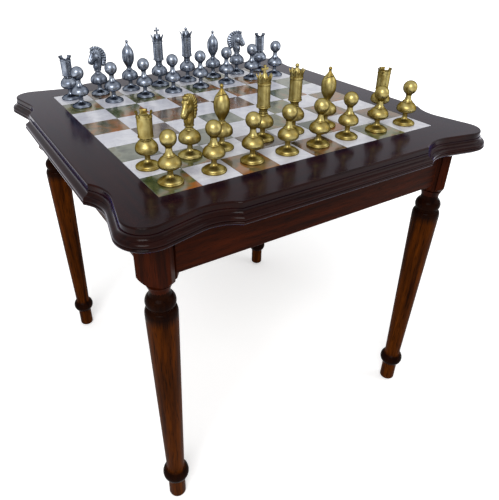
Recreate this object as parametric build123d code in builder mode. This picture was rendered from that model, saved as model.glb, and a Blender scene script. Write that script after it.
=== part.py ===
from build123d import *
import os
from math import atan2, cos, degrees, hypot, pi, radians, sin, sqrt, tan

os.makedirs("parts", exist_ok=True)

# A games table with a stone chessboard let into its top, and a set of turned metal chessmen.
# The frame is millimetres, +Z up, with the origin on the floor under the centre of the board.
# The front is the -Y side, where the gold set stands.

# ---- Chessboard ----
SQUARE = 63.5
SQUARES = 8
TILE_GAP = 0.4
TILE_THICKNESS = 9.5
TILE_EDGE = 0.5
BOARD_HALF = SQUARE * SQUARES / 2
BOARD_FIT = 0.3

# ---- Table top ----
TABLE_HEIGHT = 602.0
BORDER_WIDTH = 66.0
TOP_HALF = BOARD_HALF + BORDER_WIDTH
CORE_THICKNESS = 22.5
CORE_MARGIN = 7.7
CORE_FIT = 0.3
EDGE_ROUND = 2.2
CORNER_REACH = 150.0
STRAIGHT_HALF = TOP_HALF - CORNER_REACH
BITE_RADIUS = 71.0
BITE_DEPTH = 14.5
FLANK_ANGLE = 12.0
CORNER_RADIUS = 32.0

CORE_TOP = TABLE_HEIGHT - TILE_THICKNESS
CORE_BOTTOM = CORE_TOP - CORE_THICKNESS
CORE_HALF = BOARD_HALF + CORE_MARGIN

# ---- Edge moulding, as steps outward from the edge of the top and down from its upper face ----
STEP_OUT = 1.3
COVE_OUT = 4.8
COVE_DROP = 6.4
OVOLO_OUT = 9.8
OVOLO_DROP = 12.4
QUIRK_OUT = 8.0
QUIRK_DROP = 13.4
BEAD_RADIUS = 2.5
SLOPE_OUT = 3.0

# ---- Legs ----
LEG_INSET = 49.2
LEG_AXIS = TOP_HALF - LEG_INSET
BLOCK_WIDTH = 50.2
BLOCK_DEPTH = 48.0
BLOCK_FRONT = 16.2
RECESS_FROM_FRONT = 13.4
RECESS_WIDTH = 6.6
RECESS_DEPTH = 5.0
APRON_DEPTH = 70.0
SHOULDER_DROP = 12.6
GROOVE_RADIUS = 16.0
NECK_RADIUS = 15.2
UPPER_BEAD_RADIUS = 22.2
UPPER_BEAD_HEIGHT = TABLE_HEIGHT - 145.6
UPPER_BEAD_HALF = 10.2
SHAFT_TOP_RADIUS = 24.2
SHAFT_TOP = TABLE_HEIGHT - 171
SHAFT_FOOT_RADIUS = 15.5
FOOT_RING_RADIUS = 23.0
FOOT_RING_HEIGHT = 63.0
FOOT_RING_HALF = 14.0
SHAFT_FOOT = FOOT_RING_HEIGHT + FOOT_RING_HALF + 1
PEG_RADIUS = 15.0
PEG_ROUND = 3.0
GLIDE_RADIUS = 10.5
GLIDE_THICKNESS = 3.0

# ---- Aprons and corner fastenings ----
APRON_INSET = 35.0
APRON_FACE = TOP_HALF - APRON_INSET
APRON_THICKNESS = 18.0
APRON_BEAD = 2.0
BRACE_THICKNESS = 22.0
BRACE_HEIGHT = 46.0
BOLT_RADIUS = 4.0
BOLT_IN_BLOCK = 30.0
BOLT_PAST_NUT = 4.0
HOLE_FIT = 0.4
NUT_RADIUS = 9.0
NUT_HEIGHT = 8.0
WING_SPAN = 15.0
WING_THICKNESS = 3.0
SCREW_RADIUS = 2.2
SCREW_HEAD_RADIUS = 4.2
SCREW_IN_TOP = 14.0
SCREW_SPACING = 40.0

# ---- Chessmen, heights measured from the board ----
# For each kind: radius of the base, then radius and height of the bulb at its widest, at its
# shoulder and at the collar on top of it.
PEDESTALS = {
    "pawn": (17.9, (16.3, 28.6), (12.9, 36.4), (8.8, 40.5)),
    "rook": (18.2, (16.0, 28.4), (12.9, 36.0), (7.6, 40.8)),
    "knight": (18.2, (16.5, 28.4), (12.5, 36.6), (7.8, 41.2)),
    "bishop": (18.4, (17.2, 25.8), (12.6, 34.4), (6.8, 41.2)),
    "king": (19.3, (17.0, 27.2), (12.5, 36.0), (7.8, 41.6)),
    "queen": (19.3, (17.0, 27.2), (12.5, 36.0), (7.8, 41.6)),
}
BASE_EDGE = 2.2
BASE_STEP = 3.4
BASE_STEP_HEIGHT = 5.0
FELT_INSET = 2.4
FELT_THICKNESS = 0.8
STEM_RADIUS = 4.1
STEM_FOOT = 15.0
STEM_TOP = 20.6
COLLAR_RING = 1.8
PAWN_WAIST = 4.6
PAWN_WAIST_HEIGHT = 49.2
PAWN_BALL_RADIUS = 11.0
PAWN_HEIGHT = 73.2
TOWER_RADIUS = 9.8
TOWER_FOOT = 42.6
TOWER_TOP = 74.5
BATTLEMENT_RADIUS = 13.0
BATTLEMENT_WALL = 2.4
BATTLEMENT_GAP = 9.6
BATTLEMENT_DEPTH = 5.6
ROOK_HEIGHT = 80.6
EGG_WAIST = 5.2
EGG_FOOT = 45.2
EGG_RADIUS = 12.2
EGG_WIDEST = 69.0
MITRE_BALL_RADIUS = 3.0
BISHOP_HEIGHT = 98.4
SLIT_WIDTH = 1.2
SLIT_HEIGHT = 80.4
SLIT_SLOPE = 28.0
ROYAL_NECK = 6.2
ROYAL_NECK_HEIGHT = 47.6
DRUM_RADIUS = 10.3
DRUM_RING = 11.4
DRUM_FOOT = 52.4
DRUM_TOP = 86.8
BAND_HEIGHT = 3.2
CROWN_RADIUS = 13.0
CROWN_HEIGHT = 101.6
CROWN_WALL = 1.7
VALLEY_HEIGHT = 93.2
LEAVES = 8
CAP_HEIGHT = 103.4
KING_HEIGHT = 115.6
CROSS_HALF = 5.8
CROSS_ARM = 2.6
QUEEN_BALL_RADIUS = 3.2
QUEEN_HEIGHT = 109.8
KNIGHT_PLINTH = 48.4
KNIGHT_PLINTH_RADIUS = 7.0


# ---- Helpers for planes and plan points ----
def level(height, turn=0.0):
    """Horizontal plane at a height, its x axis turned about the centre of the top."""
    heading = (cos(radians(turn)), sin(radians(turn)), 0)
    return Plane(origin=(0, 0, height), x_dir=heading, z_dir=(0, 0, 1))


def turned_point(x, y, turn):
    """Plan point turned about the centre of the top."""
    c = cos(radians(turn))
    s = sin(radians(turn))
    return (x * c - y * s, x * s + y * c)


def upright(x, y, heading, turn=0.0, height=0.0):
    """Vertical plane through a plan point, its x axis along the heading and its y axis up."""
    px, py = turned_point(x, y, turn)
    angle = radians(heading + turn)
    return Plane(
        origin=(px, py, height),
        x_dir=(cos(angle), sin(angle), 0),
        z_dir=(sin(angle), -cos(angle), 0),
    )


def on_circle(centre, radius, angle):
    """Point on a circle at an angle in degrees."""
    return (
        centre[0] + radius * cos(radians(angle)),
        centre[1] + radius * sin(radians(angle)),
    )


# ---- Outline of the top: straight edge, concave bite, straight flank, rounded corner ----
BITE_X = TOP_HALF - BITE_DEPTH + BITE_RADIUS
BITE_Y = STRAIGHT_HALF + sqrt(BITE_RADIUS**2 - (BITE_X - TOP_HALF) ** 2)
BITE_CENTRE = (BITE_X, BITE_Y)
BREAK_ANGLE = 180 + degrees(atan2(BITE_Y - STRAIGHT_HALF, BITE_X - TOP_HALF))
FLANK_START_ANGLE = 180 - FLANK_ANGLE
BITE_SWEEP = BREAK_ANGLE - FLANK_START_ANGLE
FLANK_SUM = cos(radians(FLANK_ANGLE)) - sin(radians(FLANK_ANGLE))
FLANK_REACH = (
    BITE_X * cos(radians(FLANK_ANGLE)) - BITE_Y * sin(radians(FLANK_ANGLE)) - BITE_RADIUS
)
CORNER_CENTRE = (FLANK_REACH - CORNER_RADIUS) / FLANK_SUM
BREAK_POINT = (TOP_HALF, STRAIGHT_HALF)
FLANK_START = on_circle(BITE_CENTRE, BITE_RADIUS, FLANK_START_ANGLE)
FLANK_END = on_circle((CORNER_CENTRE, CORNER_CENTRE), CORNER_RADIUS, -FLANK_ANGLE)
CORNER_MIDDLE = CORNER_CENTRE + CORNER_RADIUS / sqrt(2)
MITRE_ANGLE = (BREAK_ANGLE - 180) / 2
MITRE_INSIDE = STRAIGHT_HALF - (TOP_HALF - CORE_HALF) * tan(radians(MITRE_ANGLE))

SIDES = {"right": 0, "back": 90, "left": 180, "front": 270}
CORNERS = {"back_right": 0, "back_left": 90, "front_left": 180, "front_right": 270}


def draw_half_side(mirrored):
    """Bite, flank and half of the corner, on one half of the right-hand side."""
    side = -1 if mirrored else 1
    bite = (BITE_X, side * BITE_Y)
    corner = (CORNER_CENTRE, side * CORNER_CENTRE)
    start = -BREAK_ANGLE if mirrored else FLANK_START_ANGLE
    CenterArc(bite, BITE_RADIUS, start, BITE_SWEEP)
    Line((FLANK_START[0], side * FLANK_START[1]), (FLANK_END[0], side * FLANK_END[1]))
    start = -45 if mirrored else -FLANK_ANGLE
    CenterArc(corner, CORNER_RADIUS, start, 45 + FLANK_ANGLE)


def draw_corner_outline(overrun=0.0):
    """Outline of the top round the back right corner, from one break to the next."""
    sweep = BITE_SWEEP + overrun
    CenterArc(BITE_CENTRE, BITE_RADIUS, FLANK_START_ANGLE, sweep)
    Line(FLANK_START, FLANK_END)
    corner = (CORNER_CENTRE, CORNER_CENTRE)
    CenterArc(corner, CORNER_RADIUS, -FLANK_ANGLE, 90 + 2 * FLANK_ANGLE)
    Line((FLANK_END[1], FLANK_END[0]), (FLANK_START[1], FLANK_START[0]))
    start = 90 - FLANK_START_ANGLE - sweep
    CenterArc((BITE_Y, BITE_X), BITE_RADIUS, start, sweep)


def draw_moulding(inner):
    """Section of the edge moulding from a plane at the edge of the top; y is height."""
    face = CORE_TOP
    step = (STEP_OUT, face)
    cove = (COVE_OUT, face - COVE_DROP)
    ovolo = (OVOLO_OUT, face - OVOLO_DROP)
    quirk = (QUIRK_OUT, face - QUIRK_DROP)
    bead_foot = (QUIRK_OUT, face - QUIRK_DROP - 2 * BEAD_RADIUS)
    Line((inner, face), step)
    ThreePointArc(step, (STEP_OUT + 0.8, face - COVE_DROP * 0.62), cove)
    ThreePointArc(cove, (OVOLO_OUT - 1.0, face - COVE_DROP - 2.4), ovolo)
    Polyline(ovolo, (QUIRK_OUT, face - OVOLO_DROP), quirk)
    ThreePointArc(quirk, (QUIRK_OUT + BEAD_RADIUS, face - QUIRK_DROP - BEAD_RADIUS), bead_foot)
    Polyline(bead_foot, (SLOPE_OUT, CORE_BOTTOM), (inner, CORE_BOTTOM), (inner, face))


# ---- Core panel under the stone ----
BLOCK_BACK = LEG_AXIS * sqrt(2) + BLOCK_FRONT - BLOCK_DEPTH
BRACE_MIDDLE = BLOCK_BACK - BRACE_THICKNESS / 2
BRACE_BOTTOM = CORE_BOTTOM - BRACE_HEIGHT
APRON_INSIDE = APRON_FACE - APRON_THICKNESS
BOLT_HEIGHT = CORE_BOTTOM - BRACE_HEIGHT / 2


def screw_points(turn):
    """Plan points of the two screws through one corner brace."""
    points = []
    for side in (-1, 1):
        along = side * SCREW_SPACING / 2
        x = (BRACE_MIDDLE - along) / sqrt(2)
        y = (BRACE_MIDDLE + along) / sqrt(2)
        points.append(turned_point(x, y, turn))
    return points


ALL_SCREWS = [point for turn in CORNERS.values() for point in screw_points(turn)]

with BuildPart() as core_panel:
    with BuildSketch(level(CORE_BOTTOM)):
        Rectangle(2 * (CORE_HALF - CORE_FIT), 2 * (CORE_HALF - CORE_FIT))
    extrude(amount=CORE_THICKNESS)
    with BuildSketch(level(CORE_BOTTOM)):
        with Locations(*ALL_SCREWS):
            Circle(SCREW_RADIUS)
    extrude(amount=SCREW_IN_TOP, mode=Mode.SUBTRACT)
core_panel.part.label = "core_panel"
export_step(core_panel.part, "parts/core_panel.step")

BORDER_INSIDE = BOARD_HALF + BOARD_FIT
INNER_REACH = BORDER_INSIDE * sqrt(2) + 1

# ---- Border of the top: four mitred boards with a rounded outer edge ----
for name, turn in SIDES.items():
    with BuildPart() as border:
        with BuildSketch(level(CORE_TOP, turn)):
            with BuildLine():
                Line((TOP_HALF, -STRAIGHT_HALF), (TOP_HALF, STRAIGHT_HALF))
                draw_half_side(False)
                draw_half_side(True)
                Polyline(
                    (CORNER_MIDDLE, CORNER_MIDDLE),
                    (BORDER_INSIDE, BORDER_INSIDE),
                    (BORDER_INSIDE, -BORDER_INSIDE),
                    (CORNER_MIDDLE, -CORNER_MIDDLE),
                )
            make_face()
        extrude(amount=TILE_THICKNESS)
        upper = border.faces().sort_by(Axis.Z)[-1]
        outer = upper.edges().filter_by(
            lambda edge: min(hypot(end.X, end.Y) for end in edge.vertices()) > INNER_REACH
        )
        fillet(outer, EDGE_ROUND)
    border.part.label = f"border_{name}"
    export_step(border.part, f"parts/border_{name}.step")

# ---- Edge mouldings: a straight length on each side and a shaped piece on each corner ----
OVERRUN = 6.0
for name, turn in SIDES.items():
    with BuildPart() as edge_moulding:
        with BuildSketch(upright(TOP_HALF, 0, 0, turn)):
            with BuildLine():
                draw_moulding(CORE_HALF - TOP_HALF)
            make_face()
        extrude(amount=STRAIGHT_HALF + 2 * OVERRUN, both=True)
        for side in (-1, 1):
            cut = upright(TOP_HALF, side * STRAIGHT_HALF, side * MITRE_ANGLE, turn)
            split(bisect_by=cut, keep=Keep.TOP if side > 0 else Keep.BOTTOM)
    edge_moulding.part.label = f"edge_moulding_{name}"
    export_step(edge_moulding.part, f"parts/edge_moulding_{name}.step")

for name, turn in CORNERS.items():
    with BuildPart() as corner_moulding:
        with BuildSketch(level(CORE_BOTTOM, turn)):
            with BuildLine():
                draw_corner_outline()
                Polyline(
                    BREAK_POINT,
                    (CORE_HALF, MITRE_INSIDE),
                    (CORE_HALF, CORE_HALF),
                    (MITRE_INSIDE, CORE_HALF),
                    (STRAIGHT_HALF, TOP_HALF),
                )
            make_face()
        extrude(amount=CORE_THICKNESS)
        with BuildLine(level(0, turn)) as rail:
            draw_corner_outline(OVERRUN)
        start = on_circle(BITE_CENTRE, BITE_RADIUS, BREAK_ANGLE + OVERRUN)
        with BuildSketch(upright(start[0], start[1], BREAK_ANGLE + OVERRUN - 180, turn)):
            with BuildLine():
                draw_moulding(-STEP_OUT)
            make_face()
        sweep(path=rail.wires()[0])
        low = upright(TOP_HALF, STRAIGHT_HALF, MITRE_ANGLE, turn)
        split(bisect_by=low, keep=Keep.BOTTOM)
        high = upright(STRAIGHT_HALF, TOP_HALF, 90 - MITRE_ANGLE, turn)
        split(bisect_by=high, keep=Keep.TOP)
    corner_moulding.part.label = f"corner_moulding_{name}"
    export_step(corner_moulding.part, f"parts/corner_moulding_{name}.step")

# ---- Stone squares, dark where file and rank numbers add up to an even number ----
TILE_SIDE = SQUARE - TILE_GAP


def square_centre(column, row):
    """Middle of a square, counted from the front left corner of the board."""
    return ((column + 0.5) * SQUARE - BOARD_HALF, (row + 0.5) * SQUARE - BOARD_HALF)


for name, parity in {"dark_tiles": 0, "light_tiles": 1}.items():
    middles = [
        square_centre(column, row)
        for column in range(SQUARES)
        for row in range(SQUARES)
        if (column + row) % 2 == parity
    ]
    with BuildPart() as tiles:
        with BuildSketch(level(CORE_TOP)):
            with Locations(*middles):
                Rectangle(TILE_SIDE, TILE_SIDE)
        extrude(amount=TILE_THICKNESS)
        chamfer(tiles.faces().group_by(Axis.Z)[-1].edges(), TILE_EDGE)
    tiles.part.label = name
    export_step(tiles.part, f"parts/{name}.step")

# ---- Aprons between the legs, a small bead worked on the lower edge ----
BLOCK_SIDE_OFFSET = BLOCK_WIDTH / sqrt(2)
APRON_HALF = APRON_FACE - BLOCK_SIDE_OFFSET
APRON_BOTTOM = CORE_BOTTOM - APRON_DEPTH

for name, turn in SIDES.items():
    with BuildPart() as apron:
        with BuildSketch(level(APRON_BOTTOM, turn)):
            with BuildLine():
                Polyline(
                    (APRON_FACE, APRON_HALF),
                    (APRON_FACE, -APRON_HALF),
                    (APRON_INSIDE, APRON_THICKNESS - APRON_HALF),
                    (APRON_INSIDE, APRON_HALF - APRON_THICKNESS),
                    close=True,
                )
            make_face()
        extrude(amount=APRON_DEPTH)
        low_edges = apron.faces().sort_by(Axis.Z)[0].edges().sort_by(Edge.length)
        fillet(low_edges[-1], APRON_BEAD)
    apron.part.label = f"apron_{name}"
    export_step(apron.part, f"parts/apron_{name}.step")

# ---- Legs: a canted square block above a turned shaft ----
LEG_REACH = LEG_AXIS * sqrt(2)
SHOULDER_TOP = APRON_BOTTOM
SHOULDER_FOOT = SHOULDER_TOP - SHOULDER_DROP
FRONT_CORNER = hypot(BLOCK_FRONT, BLOCK_WIDTH / 2)
BACK_CORNER = hypot(BLOCK_DEPTH - BLOCK_FRONT, BLOCK_WIDTH / 2)
GLIDE_TOP = GLIDE_THICKNESS


def draw_turning():
    """Half section of the turned part of a leg; x is the radius and y the height."""
    groove_top = SHOULDER_FOOT + 2
    groove = SHOULDER_FOOT - 1.8
    band = groove - 3.2
    neck = band - 12
    bead_top = UPPER_BEAD_HEIGHT + UPPER_BEAD_HALF
    bead_foot = UPPER_BEAD_HEIGHT - UPPER_BEAD_HALF
    ring_top = FOOT_RING_HEIGHT + FOOT_RING_HALF
    ring_foot = FOOT_RING_HEIGHT - FOOT_RING_HALF
    Polyline((0, GLIDE_TOP), (0, groove_top), (GROOVE_RADIUS, groove_top), (GROOVE_RADIUS, groove))
    Polyline((GROOVE_RADIUS, groove), (NECK_RADIUS + 3.6, groove), (NECK_RADIUS + 2.5, band))
    Spline(
        (NECK_RADIUS + 2.5, band),
        (NECK_RADIUS, neck),
        (NECK_RADIUS + 1.2, bead_top),
        tangents=((-1.4, -3), (1, -2)),
    )
    ThreePointArc(
        (NECK_RADIUS + 1.2, bead_top),
        (UPPER_BEAD_RADIUS, UPPER_BEAD_HEIGHT),
        (NECK_RADIUS + 4.4, bead_foot),
    )
    Line((NECK_RADIUS + 4.4, bead_foot), (NECK_RADIUS + 4.4, bead_foot - 2))
    Spline(
        (NECK_RADIUS + 4.4, bead_foot - 2),
        (SHAFT_TOP_RADIUS, SHAFT_TOP),
        tangents=((1, -0.35), (SHAFT_FOOT_RADIUS - SHAFT_TOP_RADIUS, SHAFT_FOOT - SHAFT_TOP)),
    )
    Line((SHAFT_TOP_RADIUS, SHAFT_TOP), (SHAFT_FOOT_RADIUS, SHAFT_FOOT))
    Line((SHAFT_FOOT_RADIUS, SHAFT_FOOT), (SHAFT_FOOT_RADIUS + 1, ring_top))
    ThreePointArc(
        (SHAFT_FOOT_RADIUS + 1, ring_top),
        (FOOT_RING_RADIUS, FOOT_RING_HEIGHT),
        (PEG_RADIUS + 1, ring_foot),
    )
    Polyline(
        (PEG_RADIUS + 1, ring_foot), (PEG_RADIUS, ring_foot), (PEG_RADIUS, GLIDE_TOP + PEG_ROUND)
    )
    RadiusArc(
        (PEG_RADIUS, GLIDE_TOP + PEG_ROUND), (PEG_RADIUS - PEG_ROUND, GLIDE_TOP), PEG_ROUND
    )
    Line((PEG_RADIUS - PEG_ROUND, GLIDE_TOP), (0, GLIDE_TOP))


for name, turn in CORNERS.items():
    with BuildPart() as leg:
        with BuildSketch(level(SHOULDER_FOOT, turn + 45)):
            with Locations((LEG_REACH + BLOCK_FRONT - BLOCK_DEPTH / 2, 0)):
                Rectangle(BLOCK_DEPTH, BLOCK_WIDTH)
            groove_middle = LEG_REACH + BLOCK_FRONT - RECESS_FROM_FRONT - RECESS_WIDTH / 2
            with Locations((groove_middle, BLOCK_WIDTH / 2), (groove_middle, -BLOCK_WIDTH / 2)):
                Rectangle(RECESS_WIDTH, 2 * RECESS_DEPTH, mode=Mode.SUBTRACT)
        extrude(amount=CORE_BOTTOM - SHOULDER_FOOT)
        with BuildSketch(upright(LEG_REACH, 0, 0, turn + 45)) as shoulder_cut:
            with BuildLine():
                shoulder_rim = (FRONT_CORNER, SHOULDER_TOP)
                shoulder_middle = (FRONT_CORNER - 3.9, SHOULDER_TOP - 6)
                shoulder_end = (NECK_RADIUS + 3.8, SHOULDER_FOOT)
                ThreePointArc(shoulder_end, shoulder_middle, shoulder_rim)
                Polyline(
                    shoulder_rim,
                    (BACK_CORNER + 1, SHOULDER_TOP + 4),
                    (BACK_CORNER + 1, SHOULDER_FOOT),
                    shoulder_end,
                )
            make_face()
        turning_axis = Axis((*turned_point(LEG_REACH, 0, turn + 45), 0), (0, 0, 1))
        revolve(axis=turning_axis, mode=Mode.SUBTRACT)
        with BuildSketch(upright(LEG_REACH, 0, 0, turn + 45)) as turning:
            with BuildLine():
                draw_turning()
            make_face()
        revolve(axis=turning_axis)
        with BuildSketch(upright(BLOCK_BACK, 0, 90, turn + 45, BOLT_HEIGHT)):
            Circle(BOLT_RADIUS)
        extrude(amount=BOLT_IN_BLOCK, both=True, mode=Mode.SUBTRACT)
    leg.part.label = f"leg_{name}"
    export_step(leg.part, f"parts/leg_{name}.step")

# ---- Corner braces, each with a hole for a hanger bolt and two for screws ----
BRACE_OUTER_HALF = APRON_INSIDE * sqrt(2) - (BRACE_MIDDLE + BRACE_THICKNESS / 2)
BRACE_INNER_HALF = BRACE_OUTER_HALF + BRACE_THICKNESS
HOLE_RADIUS = BOLT_RADIUS + HOLE_FIT

with BuildPart() as corner_braces:
    for turn in CORNERS.values():
        with BuildSketch(level(BRACE_BOTTOM, turn + 45)):
            with BuildLine():
                Polyline(
                    (BLOCK_BACK, BRACE_OUTER_HALF),
                    (BLOCK_BACK, -BRACE_OUTER_HALF),
                    (BLOCK_BACK - BRACE_THICKNESS, -BRACE_INNER_HALF),
                    (BLOCK_BACK - BRACE_THICKNESS, BRACE_INNER_HALF),
                    close=True,
                )
            make_face()
        extrude(amount=BRACE_HEIGHT)
    for turn in CORNERS.values():
        with BuildSketch(upright(BRACE_MIDDLE, 0, 90, turn + 45, BOLT_HEIGHT)):
            Circle(HOLE_RADIUS)
        extrude(amount=BRACE_THICKNESS, both=True, mode=Mode.SUBTRACT)
    with BuildSketch(level(BRACE_BOTTOM)):
        with Locations(*ALL_SCREWS):
            Circle(SCREW_RADIUS)
    extrude(amount=BRACE_HEIGHT, mode=Mode.SUBTRACT)
    mouths = corner_braces.edges().filter_by(GeomType.CIRCLE).group_by(Axis.Z)[0]
    chamfer(mouths, SCREW_HEAD_RADIUS - SCREW_RADIUS)
corner_braces.part.label = "corner_braces"
export_step(corner_braces.part, "parts/corner_braces.step")

# ---- Hanger bolts, wing nuts, screws and foot glides ----
BRACE_INNER_FACE = BLOCK_BACK - BRACE_THICKNESS
NUT_MIDDLE = BRACE_INNER_FACE - NUT_HEIGHT / 2
BOLT_LENGTH = BOLT_IN_BLOCK + BRACE_THICKNESS + NUT_HEIGHT + BOLT_PAST_NUT
BOLT_END = BRACE_INNER_FACE - NUT_HEIGHT - BOLT_PAST_NUT

with BuildPart() as hanger_bolts:
    for turn in CORNERS.values():
        with BuildSketch(upright(BOLT_END, 0, 90, turn + 45, BOLT_HEIGHT)):
            Circle(BOLT_RADIUS)
        extrude(amount=BOLT_LENGTH)
hanger_bolts.part.label = "hanger_bolts"
export_step(hanger_bolts.part, "parts/hanger_bolts.step")

with BuildPart() as wing_nuts:
    for turn in CORNERS.values():
        with BuildSketch(upright(BRACE_INNER_FACE - NUT_HEIGHT, 0, 90, turn + 45, BOLT_HEIGHT)):
            Circle(NUT_RADIUS)
        extrude(amount=NUT_HEIGHT)
        with BuildSketch(upright(NUT_MIDDLE, 0, 0, turn + 45, BOLT_HEIGHT)):
            with Locations((0, NUT_RADIUS)):
                Ellipse(NUT_HEIGHT / 2 - 0.5, WING_SPAN / 2, rotation=15)
            with Locations((0, -NUT_RADIUS)):
                Ellipse(NUT_HEIGHT / 2 - 0.5, WING_SPAN / 2, rotation=-15)
        extrude(amount=WING_THICKNESS / 2, both=True)
        with BuildSketch(upright(BOLT_END, 0, 90, turn + 45, BOLT_HEIGHT)):
            Circle(BOLT_RADIUS)
        extrude(amount=BOLT_LENGTH, mode=Mode.SUBTRACT)
wing_nuts.part.label = "wing_nuts"
export_step(wing_nuts.part, "parts/wing_nuts.step")

with BuildPart() as wood_screws:
    with BuildSketch(level(BRACE_BOTTOM)):
        with Locations(*ALL_SCREWS):
            Circle(SCREW_RADIUS)
    extrude(amount=BRACE_HEIGHT + SCREW_IN_TOP)
    for x, y in ALL_SCREWS:
        with BuildSketch(upright(x, y, 0, 0, BRACE_BOTTOM)):
            with BuildLine():
                head_height = SCREW_HEAD_RADIUS - SCREW_RADIUS
                Polyline((0, 0), (SCREW_HEAD_RADIUS, 0), (SCREW_RADIUS, head_height))
                Polyline((SCREW_RADIUS, head_height), (0, head_height), (0, 0))
            make_face()
        revolve(axis=Axis((x, y, 0), (0, 0, 1)))
wood_screws.part.label = "wood_screws"
export_step(wood_screws.part, "parts/wood_screws.step")

with BuildPart() as foot_glides:
    with BuildSketch(level(0)):
        with PolarLocations(LEG_REACH, 4, start_angle=45):
            Circle(GLIDE_RADIUS)
    extrude(amount=GLIDE_THICKNESS)
    chamfer(foot_glides.faces().group_by(Axis.Z)[0].edges(), GLIDE_THICKNESS / 3)
foot_glides.part.label = "foot_glides"
export_step(foot_glides.part, "parts/foot_glides.step")


# ---- Chessmen: half sections are drawn with x as the radius and y as the height ----
def draw_ring(start, high, end_radius):
    """Half-round ring from a point up to a height, where the outline goes on at a radius."""
    radius, low = start
    bulge = (high - low) / 2
    crown = (max(radius, end_radius) + bulge, low + bulge)
    end = (end_radius, high)
    Spline(start, crown, end, tangents=((1, 0.25), (-1, 0.25)))
    return end


def draw_pedestal(kind):
    """Stepped base, stem, onion-shaped bulb and collar; returns the top of the collar."""
    base, widest, shoulder, collar = PEDESTALS[kind]
    bevel = BASE_EDGE / 3
    step = (base - BASE_STEP, BASE_STEP_HEIGHT)
    Polyline(
        (0, FELT_THICKNESS),
        (base - FELT_INSET, FELT_THICKNESS),
        (base - FELT_INSET, 0),
        (base - bevel, 0),
        (base, bevel),
        (base, BASE_EDGE),
    )
    Spline((base, BASE_EDGE), step, tangents=((0, 1), (-1, 0.15)))
    stem_foot = (STEM_RADIUS, STEM_FOOT)
    stem_top = (STEM_RADIUS, STEM_TOP)
    Line(step, (step[0] - bevel, step[1] - bevel / 2))
    Spline((step[0] - bevel, step[1] - bevel / 2), stem_foot, tangents=((-1, 0.2), (0, 1)))
    Line(stem_foot, stem_top)
    Spline(stem_top, widest, tangents=((1, 0.1), (0, 1)))
    Spline(widest, shoulder, collar, tangents=((0, 1), (-0.7, 1)))
    return draw_ring(collar, collar[1] + COLLAR_RING, collar[0] - COLLAR_RING / 2)


def draw_pawn():
    """Half section of a pawn, its ball drawn down into the neck like a pear."""
    collar = draw_pedestal("pawn")
    waist = (PAWN_WAIST, PAWN_WAIST_HEIGHT)
    Spline(collar, waist, tangents=((-0.6, 1), (0, 1)))
    lip = draw_ring(waist, PAWN_WAIST_HEIGHT + 1, PAWN_WAIST)
    middle = PAWN_HEIGHT - PAWN_BALL_RADIUS
    Spline(
        lip,
        (0.8 * PAWN_BALL_RADIUS, middle - 0.68 * PAWN_BALL_RADIUS),
        (PAWN_BALL_RADIUS, middle),
        tangents=((0.3, 1), (0, 1)),
    )
    top = (PAWN_BALL_RADIUS / sqrt(2), middle + PAWN_BALL_RADIUS / sqrt(2))
    ThreePointArc((PAWN_BALL_RADIUS, middle), top, (0, PAWN_HEIGHT))
    Line((0, PAWN_HEIGHT), (0, FELT_THICKNESS))


def draw_rook():
    """Half section of a rook, with a hollow battlement."""
    collar = draw_pedestal("rook")
    tower = (TOWER_RADIUS, TOWER_FOOT + 3)
    Spline(collar, tower, tangents=((1, 0.3), (0, 1)))
    neck = (TOWER_RADIUS, TOWER_TOP)
    Line(tower, neck)
    lip = draw_ring(neck, TOWER_TOP + 1.2, TOWER_RADIUS)
    rim = (BATTLEMENT_RADIUS, ROOK_HEIGHT)
    Spline(lip, rim, tangents=((0.2, 1), (0.9, 1)))
    floor = ROOK_HEIGHT - BATTLEMENT_DEPTH - 1
    inner = BATTLEMENT_RADIUS - BATTLEMENT_WALL
    Line(rim, (inner, ROOK_HEIGHT))
    Spline(
        (inner, ROOK_HEIGHT),
        (TOWER_RADIUS - BATTLEMENT_WALL, floor),
        tangents=((-0.9, -1), (-0.2, -1)),
    )
    Polyline((TOWER_RADIUS - BATTLEMENT_WALL, floor), (0, floor), (0, FELT_THICKNESS))


def draw_bishop():
    """Half section of a bishop, an egg with a small ball on top."""
    collar = draw_pedestal("bishop")
    waist = (EGG_WAIST, EGG_FOOT)
    Spline(collar, waist, tangents=((-0.5, 1), (0, 1)))
    middle = BISHOP_HEIGHT - MITRE_BALL_RADIUS
    tip_radius = 0.6 * MITRE_BALL_RADIUS
    tip = (tip_radius, middle - sqrt(MITRE_BALL_RADIUS**2 - tip_radius**2))
    Spline(
        waist,
        (0.8 * EGG_RADIUS, EGG_FOOT + 10),
        (EGG_RADIUS, EGG_WIDEST),
        (0.6 * EGG_RADIUS, EGG_WIDEST + 14),
        tip,
        tangents=((0.3, 1), (-0.3, 1)),
    )
    ThreePointArc(tip, (MITRE_BALL_RADIUS, middle), (0, BISHOP_HEIGHT))
    Line((0, BISHOP_HEIGHT), (0, FELT_THICKNESS))


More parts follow.
